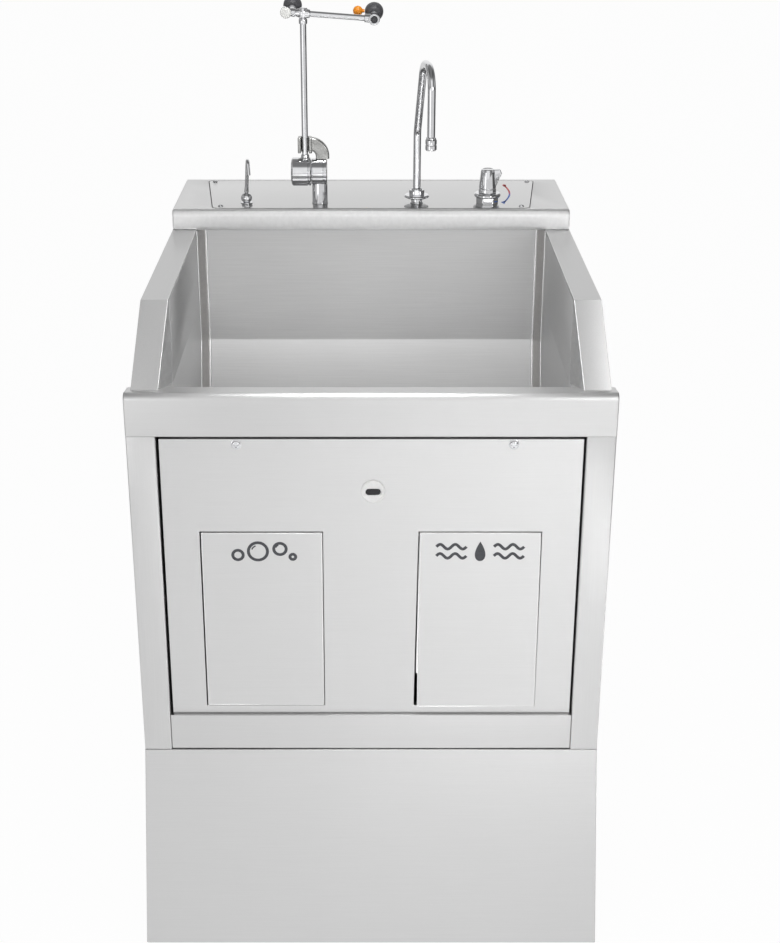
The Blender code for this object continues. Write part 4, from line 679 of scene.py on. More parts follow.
def screws():
    """Pan heads: two on washers at the top of the front panel, and four on the deck plate, flatter at its rear."""
    for side in ("left", "right"):
        low, high = reach("panel_screw_" + side)
        place = ((low[0] + high[0]) / 2, PANEL_FACE - HAIR / 3, (low[2] + high[2]) / 2 - FRONT_SCREW_DROP)
        head = screw_head(place, (0, -1, 0), 0.0068, 0.003)
        washer = turned(place, (0, -1, 0), [(0, 0), (0.0079, 0), (0.0079, 0.0005), (0.0073, 0.0008), (0, 0.0008)])
        chrome("front_screw_" + side, [head, washer], "sink", "panel_screw_" + side)
    for corner in ("front_left", "front_right", "rear_left", "rear_right"):
        low, high = reach("deck_screw_" + corner)
        place = ((low[0] + high[0]) / 2, (low[1] + high[1]) / 2, PLATE_TOP + HAIR / 3)
        head = screw_head(place, (0, 0, 1), 0.0042, 0.0026 if "front" in corner else 0.0014)
        piece("plate_screw_" + corner, [head], SCREW_SHADE, "sink", "chrome_plate", "deck_screw_" + corner)


def sensor():
    """Bezel: a polar grid with a rounded rim, sunk where it comes near the window's slot. Window: a raised slot."""
    low, high = reach("sensor_bezel")
    middle = (low + high) / 2
    radius, thick = (high[0] - low[0]) / 2, high[1] - low[1]
    share = 0.86 + 0.14 * np.sin(np.linspace(0, math.pi / 2, 9)[1:])
    share = np.concatenate([np.linspace(0, 0.86, 40), share])[:, None]
    angle = np.linspace(0, math.tau, 96, endpoint=False)[None]
    x, z = radius * share * np.cos(angle), radius * share * np.sin(angle)
    rim = np.clip((share - 0.86) / 0.14, 0, 1)
    level = thick * (0.45 + 0.55 * np.sqrt(1 - rim ** 2))
    level = level - 0.0006 * np.clip((share - 0.80) / 0.03, 0, 1) * (share < 0.86)
    far = np.hypot(np.maximum(abs(x) - 0.0064, 0), z)
    level = level - 0.0012 * np.clip((0.0062 - far) / 0.0008, 0, 1)
    top = np.stack([middle[0] + x, high[1] - level, middle[2] + z], -1)
    foot = np.stack([middle[0] + x[-1:], np.full_like(x[-1:], high[1]), middle[2] + z[-1:]], -1)
    piece("bezel", [skin(np.concatenate([top, foot]))], WHITE, "sink", "white_plastic", "sensor_bezel")
    turn = np.linspace(0, math.tau, 72, endpoint=False)[None]
    share = np.sin(np.linspace(0, math.pi / 2, 10))[:, None]
    x = share * (0.0050 * np.cos(turn) + 0.0062 * np.tanh(6 * np.cos(turn)))
    z = share * 0.0050 * np.sin(turn)
    level = 0.0006 * np.sqrt(np.maximum(1 - share ** 2, 0))
    face = low[1] + 0.0009
    top = np.stack([middle[0] + x, np.broadcast_to(face - level, x.shape), middle[2] + z], -1)
    foot = np.stack([middle[0] + x[-1:], np.full_like(x[-1:], face + 0.0007), middle[2] + z[-1:]], -1)
    piece("window", [skin(np.concatenate([top, foot]))], SMOKED, "sink", "black_lens", "sensor_lens")


# Bowl, guards and sides

def bowl():
    """Rings from the top edge to the drain.

    The rear goes straight down to the bend and then slopes, the foot is a quarter-round cove, and the floor
    blends the last ring into the drain's circle. Above the rim only the rear and the two sides go on up. Thin
    bars along both edges of the rear corners are their welds, drawn as pale lines of painted highlight, with a flat
    strip of painted shade between them.
    """
    slope = BOWL_REAR - math.tan(BOWL_SLOPE) * (BOWL_BEND - BOWL_FOOT)
    rear_line = bend([(BOWL_REAR, BOWL_TOP), (BOWL_REAR, BOWL_BEND), (slope, BOWL_FOOT)], 0.012, steps=8)
    height = np.concatenate([[BOWL_RIM], rear_line[1:, 1]])
    height = np.insert(height, 1, BOWL_RIM - HAIR * 4)
    rear = np.concatenate([[BOWL_REAR, BOWL_REAR], rear_line[1:, 0]])
    turn = np.linspace(0, math.pi / 2, 9)[1:]
    inset = np.concatenate([np.zeros(len(height)), BOWL_COVE * (1 - np.cos(turn))])
    rear = np.concatenate([rear, np.full(len(turn), slope)]) - inset
    height = np.concatenate([height, BOWL_FOOT - BOWL_COVE * np.sin(turn)])
    flat = ring_of(BOWL_HALF - inset, BOWL_FRONT + inset, rear, BOWL_CORNER, CHEEK_BACK)
    rings = np.concatenate([flat, np.repeat(height[:, None, None], flat.shape[1], 1)], -1)
    last = rings[-1]
    around = unit(last[:, :2] - np.array(DRAIN[:2]))
    seat = np.concatenate([DRAIN[:2] + DRAIN_SEAT * around, np.full((len(last), 1), DRAIN[2])], 1)
    hole = np.concatenate([DRAIN[:2] + DRAIN_HOLE * around, np.full((len(last), 1), DRAIN[2])], 1)
    share = np.linspace(0, 1, 7)[1:, None, None]
    rings = np.concatenate([rings, last + (seat - last) * share, hole[None]])
    lower = skin(rings, capped=False)
    tall = flat[0][flat[0][:, 1] >= CHEEK_BACK - 1e-6]
    start = np.argmin(np.where(tall[:, 0] > 0, tall[:, 1], 9))
    tall = np.roll(tall, -start, 0)
    top = np.where(abs(tall[:, 0]) < BOWL_HALF - 0.0015, LIP_BOTTOM - 2 * HAIR, BOWL_TOP - GUARD_LIP + 0.002)
    levels = BOWL_RIM + (top - BOWL_RIM) * np.array([1, 0.99, 0.5, 0])[:, None]
    upper = np.concatenate([np.broadcast_to(tall, (4, *tall.shape)), levels[:, :, None]], -1)
    patches = [lower, skin(upper, around=False, capped=False)]
    steel("bowl_sheet", patches, BOWL_STEEL, "basin", sheet=SHEET)
    seam_highlights = []
    shade_strips = []
    for sign in (-1, 1):
        beside = np.insert(rear_line - (BOWL_CORNER, 0), 0, sign * BOWL_HALF, 1)
        behind = np.insert(rear_line, 0, sign * (BOWL_HALF - BOWL_CORNER), 1)
        seam_highlights += [hose(beside, 0.0015, (1, 0, 0), 16), hose(behind, 0.0021, (1, 0, 0), 16)]
        into = np.array([sign, 1, 0]) * HAIR
        shade_strips.append(skin(np.stack([beside, behind, behind + into, beside + into], 1)))
    steel("bowl_seam_highlights", seam_highlights, PALE_HIGHLIGHT)
    steel("bowl_corner_shade_strips", shade_strips, CORNER_SHADE)


def guard_line(rear, inset):
    """The guard's top and sloped front from the rear to the rim with a hard kink, moved inwards, as (y, z)."""
    (kink_y, top), (foot_y, foot_z) = GUARD_KINK, GUARD_FOOT
    lean = (foot_y - kink_y) / (RIM_TOP - top)
    far = inset * math.sqrt(1 + lean * lean)
    slope = [kink_y + lean * (z - top) + far for z in (top - inset, foot_z)]
    line = np.array([(rear, top - inset), (SPLAY_BACK, top - inset), (slope[0], top - inset), (slope[1], foot_z)])
    return line[1:] if rear == SPLAY_BACK else line


def guard_path(rear, inset, x, sign):
    """The guard's line in space, at x on its side and moved outwards from the kink to the foot by an even share."""
    line = guard_line(rear, inset)
    share = np.maximum(GUARD_KINK[0] - line[:, 0], 0) / (GUARD_KINK[0] - GUARD_FOOT[0])
    return np.insert(line, 0, sign * (x + SPLAY * share), 1)


def splayed(patch, sign, front=GUARD_FOOT[0]):
    """Moves a patch outwards in front of the splay line, by a share that grows evenly to the front."""
    points, faces, ends = patch
    share = np.maximum(SPLAY_BACK - points[:, 1], 0) / (SPLAY_BACK - front)
    return points + sign * SPLAY * share[:, None] * (1, 0, 0), faces, ends


def guards():
    """Caps: a strip with both edges bent down, carried along the guard's line. Cheek: the flat inner wall below it.

    The strip leans outwards from its kink and the cheek from the splay line, and a ledge closes the wedge between
    cheek and bowl. A thin bar along the strip's inner edge is its weld, a pale line of painted highlight.
    """
    for side, sign in (("left", -1), ("right", 1)):
        _, high = reach(side + "_guard_cap")
        inner, outer = sorted((sign * BOWL_HALF, sign * (BOWL_HALF + GUARD_WIDTH)))
        across = bend([(inner, -GUARD_LIP), (inner, 0), (outer, 0), (outer, -GUARD_LIP)], 0.0005)
        strip = carried(walled(across[::-1]), guard_path(high[1], 0, 0, sign), (1, 0, 0))
        under = GUARD_LIP + HAIR / 3
        cheek = guard_line(SPLAY_BACK, under)
        cheek = np.concatenate([cheek, [(BOWL_FRONT, BOWL_RIM), (SPLAY_BACK, BOWL_RIM)]])
        top = GUARD_KINK[1] - under
        strake = [(SPLAY_BACK, BOWL_RIM), (SPLAY_BACK, top), (CHEEK_BACK, top), (CHEEK_BACK, BOWL_RIM)]
        walls = [drawn(flat, 0, sign * BOWL_HALF, sign * (BOWL_HALF + SHEET), 0.0) for flat in (cheek, strake)]
        front = GUARD_FOOT[0] + under
        wedge = BOWL_HALF + SPLAY * (SPLAY_BACK - BOWL_FRONT) / (SPLAY_BACK - front)
        ledge = np.array([(BOWL_HALF, SPLAY_BACK), (BOWL_HALF, BOWL_FRONT), (wedge, BOWL_FRONT)]) * (sign, 1)
        ledge = drawn(ledge, 2, BOWL_RIM, BOWL_RIM + SHEET, 0.0)
        steel("guard_" + side, [strip], LENGTHWISE_SHADED, side + "_guard_cap", brush="Y")
        patches = [splayed(wall, sign, front) for wall in walls] + [ledge]
        steel("guard_cheek_" + side, patches, PAINTED_BRIGHT_EDGE)
        seam = hose(guard_path(high[1], 0.0004, BOWL_HALF + 0.0004, sign), 0.0007, (1, 0, 0), 12)
        steel("guard_seam_highlight_" + side, [seam], PALE_HIGHLIGHT)


def cabinet_sides():
    """Side sheets: the cabinet's outline from the side, with the guard's line at its top, drawn by one thickness."""
    for side, sign in (("left", -1), ("right", 1)):
        low, high = reach(side + "_side_panel")
        rear, base, top = high[1], low[2], high[2]
        under = GUARD_LIP + HAIR / 3
        guard_top = GUARD_KINK[1] - under
        line = guard_line(SPLAY_BACK, under)
        heel = LIP_BACK + HAIR
        flat = [(SPLAY_BACK, base), (rear, base), (rear, top), (heel, top), (heel, guard_top), (SPLAY_BACK, guard_top)]
        under_rim = RIM_TOP - APRON_FALL - SHEET - HAIR
        nose = [(BOWL_FRONT + HAIR, GUARD_FOOT[1]), (BOWL_FRONT + HAIR, under_rim), (low[1], under_rim)]
        nose = np.concatenate([line, nose, [(low[1], base), (SPLAY_BACK, base)]])
        outer = sign * (BOWL_HALF + GUARD_WIDTH)
        sheets = [drawn(outline, 0, outer, outer - sign * SHEET, 0.0) for outline in (flat, nose)]
        edge = sign * max(abs(low[0]), abs(high[0]))
        fold = bend([(outer - sign * SHEET, low[1]), (edge, low[1]), (edge, low[1] + SHEET),
                     (outer - sign * SHEET, low[1] + SHEET)], EASE / 2, True, 3)
        fold = drawn(fold, 2, base, under_rim, EASE / 2)
        patches = [splayed(sheet, sign) for sheet in sheets] + [fold]
        steel("side_" + side, patches, UPRIGHT, side + "_side_panel", brush="Z")


# Deck

def deck():
    """Deck sheet: a line that runs forward, rolls over the lip and turns back under it, on a grid across the sink.

    The cells under the deck plate are left out. The rolled rows are a piece of their own, the lip's two ends are
    closed by its cross-section, and a round bar along its foot is its hem, pale as a painted highlight.
    """
    low, high = reach("deck")
    half_open, open_front, open_rear = DECK_OPENING
    corners = [(high[1], DECK_TOP), (LIP_FACE, DECK_TOP), (LIP_FACE, LIP_BOTTOM), (0.1335, LIP_BOTTOM)]
    line = bend(corners, (0, LIP_ROLL, 0.005, 0), steps=8)
    rows = [high[1] - EASE, open_rear, open_front, LIP_FACE + LIP_ROLL + EASE]
    line = np.concatenate([line[:1], [(y, DECK_TOP) for y in rows], line[1:]])
    edge = high[0] - SHEET
    columns = np.array([-edge, EASE - edge, -half_open, half_open, edge - EASE, edge])
    x = np.broadcast_to(columns, (len(line), len(columns)))
    y, z = (np.broadcast_to(line[:, i, None], x.shape) for i in (0, 1))
    points, faces, _ = skin(np.stack([x, y, z], -1), around=False, capped=False)
    middle = points[faces].mean(1)
    opened = (abs(middle[:, 0]) < half_open) & (middle[:, 1] > open_front) & (middle[:, 1] < open_rear)
    section = bend([(LIP_BACK, DECK_TOP), (LIP_FACE, DECK_TOP), (LIP_FACE, LIP_BOTTOM), (LIP_BACK, LIP_BOTTOM)],
                   (0.0003, LIP_ROLL, 0.005, 0.0003), True, 8)
    strip = [(LIP_BACK, DECK_TOP - SHEET), (high[1], DECK_TOP - SHEET), (high[1], DECK_TOP), (LIP_BACK, DECK_TOP)]
    lip_ends = []
    sheet_ends = []
    for outer in (low[0], high[0]):
        inner = outer - math.copysign(SHEET, outer)
        lip_ends.append(drawn(section, 0, outer, inner, EASE))
        sheet_ends.append(drawn(strip, 0, outer, inner, EASE))
    rolled = middle[:, 1] < LIP_FACE + LIP_ROLL
    flat = faces[~opened & ~rolled]
    steel("deck_sheet", [(points, flat, [])], ACROSS, "deck", sheet=SHEET)
    steel("deck_lip", [(points, faces[rolled], [])], PAINTED_BRIGHT_EDGE, sheet=SHEET)
    steel("deck_ends", sheet_ends, ACROSS)
    steel("deck_lip_ends", lip_ends, PAINTED_BRIGHT_EDGE)
    hem_radius = 0.0018
    hem = [(x, LIP_FACE + 0.0008, LIP_BOTTOM + hem_radius) for x in (low[0] + EASE, high[0] - EASE)]
    steel("deck_lip_hem_highlight", [hose(hem, hem_radius, (0, 1, 0), 16)], PALE_HIGHLIGHT)


def deck_plate():
    """Flat plate with round corners, drawn up by its thickness with a soft edge, in a wider dark bead of painted
    shadow.
    """
    low, high = reach("deck_plate")
    outline = bend(PLATE_CORNERS, 0.012, True, 10)
    steel("top_plate", [drawn(outline, 2, low[2], high[2], 0.0005)], POLISHED_SHADED, "deck_plate")
    # The bead is painted shadow round the plate's edge, wider at its front
    wider = outline - 0.0017 * sideways(outline, True)
    wider[:, 1] -= np.where(wider[:, 1] < FIXTURE_Y, 0.0010, 0)
    shadow_bead = drawn(wider, 2, DECK_TOP + HAIR / 3, PLATE_TOP - HAIR, 0.0005)
    piece("plate_shadow_bead", [shadow_bead], PLATE_SHADOW_BEAD, "sink", "grey_plastic")


def turn_mark():
    """Printed arc beside the mixer: a stroke along a bow, a dot at its hot end and an arrowhead at its cold end."""
    ends = np.array([(0.2252, 0.172), (0.2353, 0.301)])
    share = np.linspace(0, 1, 41)[:, None]
    line = ends[0] + (ends[1] - ends[0]) * share + np.array([0.0092, 0]) * np.sin(math.pi * share)
    shift = sideways(line, False) * 0.0015
    strokes = [np.concatenate([line + shift, (line - shift)[::-1]])]
    turn = np.linspace(0, math.tau, 24, endpoint=False)[:, None]
    strokes.append(ends[1] + np.concatenate([0.0032 * np.cos(turn), 0.0085 * np.sin(turn)], 1))
    strokes.append(ends[0] + np.array([(-0.0055, 0.002), (0.0045, 0.013), (-0.0005, -0.012)]))
    patches = [drawn(stroke, 2, PLATE_TOP - 0.0002, PLATE_TOP + 0.0002, 0.0) for stroke in strokes]
    # Printed ink, blue at the near end and red at the far one, with a fine fleck
    made, tree, shader = material("red_and_blue_printed_ink")
    spot = add(tree, "TexCoord").outputs["Object"]
    depth = add(tree, "SeparateXYZ", {"Vector": spot}).outputs["Y"]
    share = add(tree, "MapRange", {"Value": depth}, From_Min=0.176, From_Max=0.306).outputs["Result"]
    fleck = add(tree, "TexNoise", {"Vector": spot}, Scale=1000 / 1.5, Detail=2.0)
    blend = add(tree, "Math", {0: fleck.outputs["Fac"]}, operation="MULTIPLY_ADD")
    blend.inputs[1].default_value = 0.10
    tree.links.new(share, blend.inputs[2])
    tone = ramp(tree, blend.outputs[0], (0.0, linear("#1d4fa0")), (0.42, linear("#2f62b4")),
                (0.62, linear("#c8403c")), (1.0, linear("#b82a26")))
    tree.links.new(tone.outputs["Color"], shader.inputs["Base Color"])
    polish = add(tree, "MapRange", {"Value": fleck.outputs["Fac"]}, To_Min=0.42, To_Max=0.58)
    tree.links.new(polish.outputs["Result"], shader.inputs["Roughness"])
    piece("turn_mark", patches, made, "sink", "white_plastic")


# Fixtures

def shank(x, low):
    """Threaded stem under the deck plate: a profile with a fine wave for its thread."""
    rise = np.linspace(low, SHANK_TOP, 90)
    thread = 0.0094 + 0.0005 * np.sin(rise / 0.0018 * math.tau)
    profile = np.stack([thread, rise], 1)
    return turned((x, FIXTURE_Y, 0), (0, 0, 1), np.concatenate([[(0, low)], profile, [(0, SHANK_TOP)]]), 32)


def lathe_line(*corners, radius=0.0006):
    """A profile from the axis and back with every edge eased."""
    return bend(corners, radius, steps=4)


def eyewash():
    """Post with a cross barrel, and the hub beside it with its boss: turned parts. Then the clip and the arm."""
    base = (-0.086, FIXTURE_Y, PLATE_TOP)
    tube = lathe_line((0, HAIR), (0.0136, HAIR), (0.0136, 0.0022), (0.0129, 0.0030), (0.0129, 0.05), (0, 0.05))
    post = turned(base, (0, 0, 1), tube)
    barrel = lathe_line((0, 0), (0.0205, 0), (0.0222, 0.0017), (0.0222, 0.019), (0.0212, 0.0195), (0.0212, 0.0210),
                        (0.0222, 0.0215), (0.0222, 0.0243), (0.0205, 0.026), (0, 0.026), radius=0.0004)
    barrel = turned((-0.0995, FIXTURE_Y, EYEWASH_Z), (1, 0, 0), barrel, 64)
    chrome("wash_post", [post, barrel, shank(-0.086, SHANK_FOOT)], "sink", "eyewash_post")

    hub = lathe_line((0, 0), (0.0165, 0), (0.0170, 0.0008), (0.0212, 0.0008), (0.0236, 0.0032), (0.0236, 0.0275),
                     (0.0224, 0.0282), (0.0224, 0.0297), (0.0236, 0.0304), (0.0236, 0.0318), (0.0222, 0.0335),
                     (0, 0.0335), radius=0.0004)
    hub = turned((-0.1336, FIXTURE_Y, EYEWASH_Z), (1, 0, 0), hub, 64)
    boss = lathe_line((0, 0.015), (0.0100, 0.015), (0.0088, 0.0232), (0.0070, 0.0246), (0.0066, 0.0290), (0, 0.0290))
    boss = turned((ARM_X, FIXTURE_Y, EYEWASH_Z), (0, 0, 1), boss)
    chrome("wash_hub", [hub, boss], "eyewash_arm_body", "eyewash_hub")
    clip()
    arm()


def clip():
    """Arch: a rounded bar carried up and round a quarter circle. Fork: a U outline drawn upwards."""
    centre = np.array([-0.1007, EYEWASH_Z + 0.0266])
    outer, inner = 0.031, 0.0085
    middle, half = (outer + inner) / 2, (outer - inner) / 2
    turn = np.linspace(0, math.pi / 2, 17)
    round_part = centre + middle * np.stack([np.cos(turn), np.sin(turn)], 1)
    foot = [(centre[0] + middle, EYEWASH_Z + 0.0225)]
    line = np.concatenate([foot, round_part])
    path = np.stack([line[:, 0], np.full(len(line), FIXTURE_Y), line[:, 1]], 1)
    section = bend([(-0.0065, -half), (0.0065, -half), (0.0065, half), (-0.0065, half)], 0.0035, True, 6)
    arch = carried(section, path, (0, 1, 0))
    front, back = FIXTURE_Y - 0.009, FIXTURE_Y + 0.012
    wide, narrow = 0.0118, 0.0066
    fork = np.array([(-wide, front), (-narrow, front), (-narrow, FIXTURE_Y + 0.0066), (narrow, FIXTURE_Y + 0.0066),
                     (narrow, front), (wide, front), (wide, back), (-wide, back)])
    fork = bend(fork + (ARM_X, 0), (0.002, 0.0015, 0.003, 0.003, 0.0015, 0.002, 0.004, 0.004), True, 6)
    fork = drawn(fork, 2, EYEWASH_Z + 0.032, EYEWASH_Z + 0.0576, 0.0012)
    steel("wash_clip", [arch, fork], SATIN, "eyewash_clip")


def arm():
    """Riser, tee and cross pipe as bars whose radius swells at the fittings, with sockets and stubs at both ends.

    Heads, end cap, socket screen, and the ball on its stem are turned parts that lean with the stubs or lie level.
    """
    hub = np.array([ARM_X, FIXTURE_Y, EYEWASH_Z])
    rise = np.array([0.0293, 0.06, 0.12, 0.18, 0.2400, 0.2406, 0.2425, 0.2465, 0.2485, 0.2490, 0.2500, 0.2515,
                     0.2635, 0.2655, 0.2662])
    thick = np.array([0.0052, 0.0052, 0.0052, 0.0052, 0.0052, 0.0066, 0.0070, 0.0070, 0.0066, 0.0058, 0.0070, 0.0078,
                      0.0078, 0.0066, 0.0030])
    riser = hose(hub + rise[:, None] * np.array([0, 0, 1.0]), thick, (1, 0, 0), 40)
    run = np.array([-0.0270, -0.0215, -0.0205, -0.0170, -0.0130, -0.0118, -0.0060, 0, 0.0060, 0.0100, 0.0112, 0.0118,
                    0.060, 0.0990, 0.0998, 0.1060, 0.1150])
    thick = np.array([0.0050, 0.0050, 0.0066, 0.0070, 0.0070, 0.0058, 0.0074, 0.0077, 0.0074, 0.0072, 0.0066, 0.0048,
                      0.0048, 0.0048, 0.0066, 0.0070, 0.0070])
    place = np.stack([run, np.zeros(len(run)), TEE_RISE - run * CROSS_DROOP], 1)
    cross = hose(hub + place, thick, (0, 1, 0), 40)
    lean = np.array([0, math.cos(HEAD_LEAN), math.sin(HEAD_LEAN)])
    head_rise = 0.0173
    patches = [riser, cross]
    sides = []
    roots = []
    for x in CROSS_ENDS:
        middle = hub + np.array([x, 0, TEE_RISE - x * CROSS_DROOP])
        bore = 0.0055 if x > 0 else 0.0
        front = [(bore, 0.009), (bore, 0.0008), (bore + 0.0006, 0)] if bore else [(0, 0)]
        profile = bend([(0, 0.009), *front, (0.0084, 0), (0.0092, 0.0012), (0.0092, 0.018), (0.0080, 0.021),
                        (0, 0.021)], 0.0003, steps=3)
        patches.append(turned(middle - (0, 0.012, 0), (0, 1, 0), profile))
        stub = lathe_line((0, 0), (0.0062, 0), (0.0062, 0.0105), (0.0072, 0.011), (0.0072, 0.0155), (0.0062, 0.017),
                          (0, 0.017))
        root = middle if x > 0 else middle + LEFT_HEAD_SHIFT * np.array([1, 0, -CROSS_DROOP])
        patches.append(turned(root, lean, stub))
        sides.append(middle)
        roots.append(root)
    chrome("wash_arm", patches, "eyewash_arm_body", "eyewash_arm")
    for side, root in zip(("left", "right"), roots):
        turn = np.linspace(0, math.pi / 2, 12)
        dome = np.stack([0.0068 + 0.0084 * np.sin(turn), 0.003 + 0.015 * (1 - np.cos(turn))], 1)
        profile = np.concatenate([[(0, 0), (0.0066, 0), (0.0068, 0.0004)], dome,
                                  [(0.0152, 0.0196), (0.0147, 0.0205), (0.0138, 0.021), (0.0120, 0.0206), (0, 0.0203)]])
        head = turned(root + lean * head_rise, lean, profile, 64)
        piece("wash_head_" + side, [head], DARK, "eyewash_arm_body", "grey_plastic", side + "_spray_head")
    cap = lathe_line((0, 0), (0.0088, 0), (0.0088, 0.0014), (0.0076, 0.0026), (0.004, 0.003), (0, 0.003), radius=0.0004)
    cap = turned(sides[0] - (0, 0.0123, 0), (0, -1, 0), cap)
    piece("wash_end_cap", [cap], IVORY, "eyewash_arm_body", "white_plastic", "white_end_cap")
    # The screen in the right socket's bore is dark grey, painted shade of the hollow bore
    screen = turned(sides[1] - (0, 0.0070, 0), (0, 1, 0), [(0, 0), (0.0053, 0), (0.0053, 0.002), (0, 0.002)])
    piece("wash_socket_shaded_screen", [screen], DARK, "eyewash_arm_body", "grey_plastic")
    head = sides[1] + lean * (head_rise + 0.0105) + (0, 0, 0.0035)
    turn = np.linspace(0, math.pi, 24)
    ball = np.stack([0.008 * np.sin(turn), -0.008 * np.cos(turn)], 1)
    ball = turned(head - (0.0265, 0, 0), (1, 0, 0), ball, 48)
    stem = lathe_line((0, 0), (0.0030, 0), (0.0027, 0.0040), (0, 0.0040), radius=0.0002)
    stem = turned(head - (0.0195, 0, 0), (1, 0, 0), stem)
    piece("wash_ball", [ball, stem], ORANGE, "eyewash_arm_body", "orange_plastic", "orange_cap")


def faucet():
    """Base, gooseneck and outlet: turned parts on the deck, and a bent tube in a vertical plane."""
    base = np.array([0.077, FIXTURE_Y, PLATE_TOP])
    foot = lathe_line((0, HAIR), (0.0108, HAIR), (0.0108, 0.0018), (0.0094, 0.0026), (0.0094, 0.0100), (0, 0.0100))
    disc = lathe_line((0, 0.0096), (0.0190, 0.0098), (0.0210, 0.0112), (0.0210, 0.0130), (0.0196, 0.0146),
                      (0.0122, 0.0150), (0, 0.0150), radius=0.0005)
    nut = [(0, 0.0146), (0.0112, 0.0146), (0.0128, 0.0156), (0.0128, 0.0216), (0.0112, 0.0226), (0, 0.0226)]
    collar = lathe_line((0, 0.0220), (0.0090, 0.0220), (0.0090, 0.0244), (0.0076, 0.0260), (0, 0.0260))
    patches = [turned(base, (0, 0, 1), foot), turned(base, (0, 0, 1), disc, 64), turned(base, (0, 0, 1), collar)]
    patches += [turned(base, (0, 0, 1), nut, 96, flats=0.0110), shank(0.077, SHANK_FOOT)]
    chrome("spout_foot", patches, "sink", "faucet_base")
    ahead = np.array([math.sin(SPOUT_YAW), -math.cos(SPOUT_YAW), 0])
    corners = [(0, 0.0263), (0, 0.120), (0.056, 0.241), (0.130, 0.241), (0.130, 0.136)]
    line = bend(corners, 0.034, steps=14)
    path = base + line[:, :1] * ahead + line[:, 1:] * np.array([0, 0, 1.0])
    tube = hose(path, 0.0064, np.cross(ahead, (0, 0, 1)))
    chrome("spout_tube", [tube], "spout_body", "faucet_spout")
    tip = base + 0.130 * ahead + np.array([0, 0, 0.136 - HAIR])
    profile = bend([(0.005, 0.021), (0.005, 0.0005), (0.0062, 0), (0.0076, 0.0004), (0.0080, 0.0030), (0.0092, 0.0045),
                    (0.0092, 0.0105), (0.0086, 0.0112), (0.0086, 0.0122), (0.0092, 0.0129), (0.0092, 0.0190),
                    (0.0078, 0.021), (0.005, 0.021)], 0.0003, steps=3)
    points, faces, _ = turned(tip, (0, 0, -1), profile)
    chrome("spout_end", [(points, faces, [])], "spout_body", "faucet_outlet")


def mixer():
    """Base and knob as turned parts, the base on a hexagon nut. The lever is a fin: a bent outline drawn through."""
    base = np.array([0.196, FIXTURE_Y, PLATE_TOP])
    nut = turned(base, (0, 0, 1), [(0, HAIR), (0.0178, HAIR), (0.0186, 0.0012), (0.0186, 0.0100), (0.0178, 0.0110),
                                   (0, 0.0110)], 96, flats=0.0164)
    body = lathe_line((0, 0.0104), (0.0165, 0.0106), (0.0215, 0.0116), (0.0225, 0.0136), (0.0222, 0.0160),
                      (0.0205, 0.0178), (0.0152, 0.0180), (0, 0.0180))
    block = [(-0.046, -0.016), (0.042, -0.016), (0.042, 0.016), (-0.046, 0.016)]
    block = drawn(np.array(block) + base[:2], 2, PLATE_TOP - 0.080, PLATE_TOP - 0.030, 0.002)
    stem = shank(0.196, PLATE_TOP - 0.031)
    patches = [nut, turned(base, (0, 0, 1), body, 64), block, stem]
    chrome("mixer_foot", patches, "sink", "mixer_base")
    knob = lathe_line((0, 0.0183), (0.0146, 0.0183), (0.0150, 0.0192), (0.0147, 0.0245), (0.0141, 0.0252),
                      (0.0141, 0.0262), (0.0146, 0.0268), (0.0119, 0.0535), (0.0108, 0.0570), (0.0088, 0.0580),
                      (0.0080, 0.0572), (0.0072, 0.0572), (0, 0.0576), radius=0.0004)
    fin = [(0.006, 0.028), (0.0145, 0.029), (0.0175, 0.0385), (0.0236, 0.0505), (0.0205, 0.0572), (0.006, 0.0565)]
    fin = bend(np.array(fin) + (base[0], PLATE_TOP), (0.0002, 0.004, 0.008, 0.0022, 0.0022, 0.0002), True, 5)
    lever = drawn(fin, 1, FIXTURE_Y - 0.0045, FIXTURE_Y + 0.0045, 0.0014)
    patches = [turned(base, (0, 0, 1), knob, 64), lever]
    chrome("mixer_handle", patches, "mixer_knob_body", "mixer_knob")


def soap_spout():
    """Base: a ball on a low foot, spun. Spout: a thin bar along a bent, hooked line."""
    base = np.array([-0.210, FIXTURE_Y, PLATE_TOP])
    turn = np.linspace(-math.pi / 3.2, math.pi / 2, 14)
    ball = np.stack([0.0094 * np.cos(turn), 0.0088 + 0.0094 * np.sin(turn)], 1)
    ball[-1] = (0, 0.0183)
    foot = lathe_line((0, HAIR), (0.0102, HAIR), (0.0102, 0.0012), (0.0090, 0.0018), radius=0.0003)
    profile = np.concatenate([foot, ball])
    chrome("soap_foot", [turned(base, (0, 0, 1), profile), shank(-0.210, SHANK_FOOT)], "sink", "soap_spout_base")
    corners = [(0, 0, 0.0186), (0.001, -0.002, 0.030), (0.004, -0.010, 0.074), (0.006, -0.034, 0.078)]
    corners.append((0.008, -0.042, 0.056))
    path = base + bend(corners, 0.008, steps=8)
    thick = np.full(len(path), 0.0031)
    thick[0] = 0.0040
    tube = hose(path, thick, (1, 0, 0), 28)
    chrome("soap_tube_spout", [tube], "soap_spout_body", "soap_spout")


def carry_over():
    """Nodes that keep their CAD shape get the finish of what they are made of."""
    finishes = {
        ROLLED: "cabinet_floor back_panel soap_knee_bracket water_knee_bracket drain_strainer",
        CHROME: "soap_hinge_pin water_hinge_pin drain_tailpiece drain_trap",
        BRASS: "soap_pump water_valve soap_plunger water_plunger",
        COPPER: "cold_supply_pipe hot_supply_pipe mixed_water_pipe spout_supply_pipe eyewash_supply_pipe",
        BOTTLE: "soap_bottle soap_tube",
        DARK: "sensor_housing solenoid_coil",
    }
    for finish, names in finishes.items():
        for name in names.split():
            frame["nodes"][name].material_slots[0].material = finish


# Stage

def stage_sheet(name, corners, finish):
    """A flat sheet with four corners."""
    mesh = bpy.data.meshes.new(name)
    mesh.from_pydata(corners, [], [(0, 1, 2, 3)])
    mesh.materials.append(finish)
    made = bpy.data.objects.new(name, mesh)
    bpy.context.scene.collection.objects.link(made)
    return made


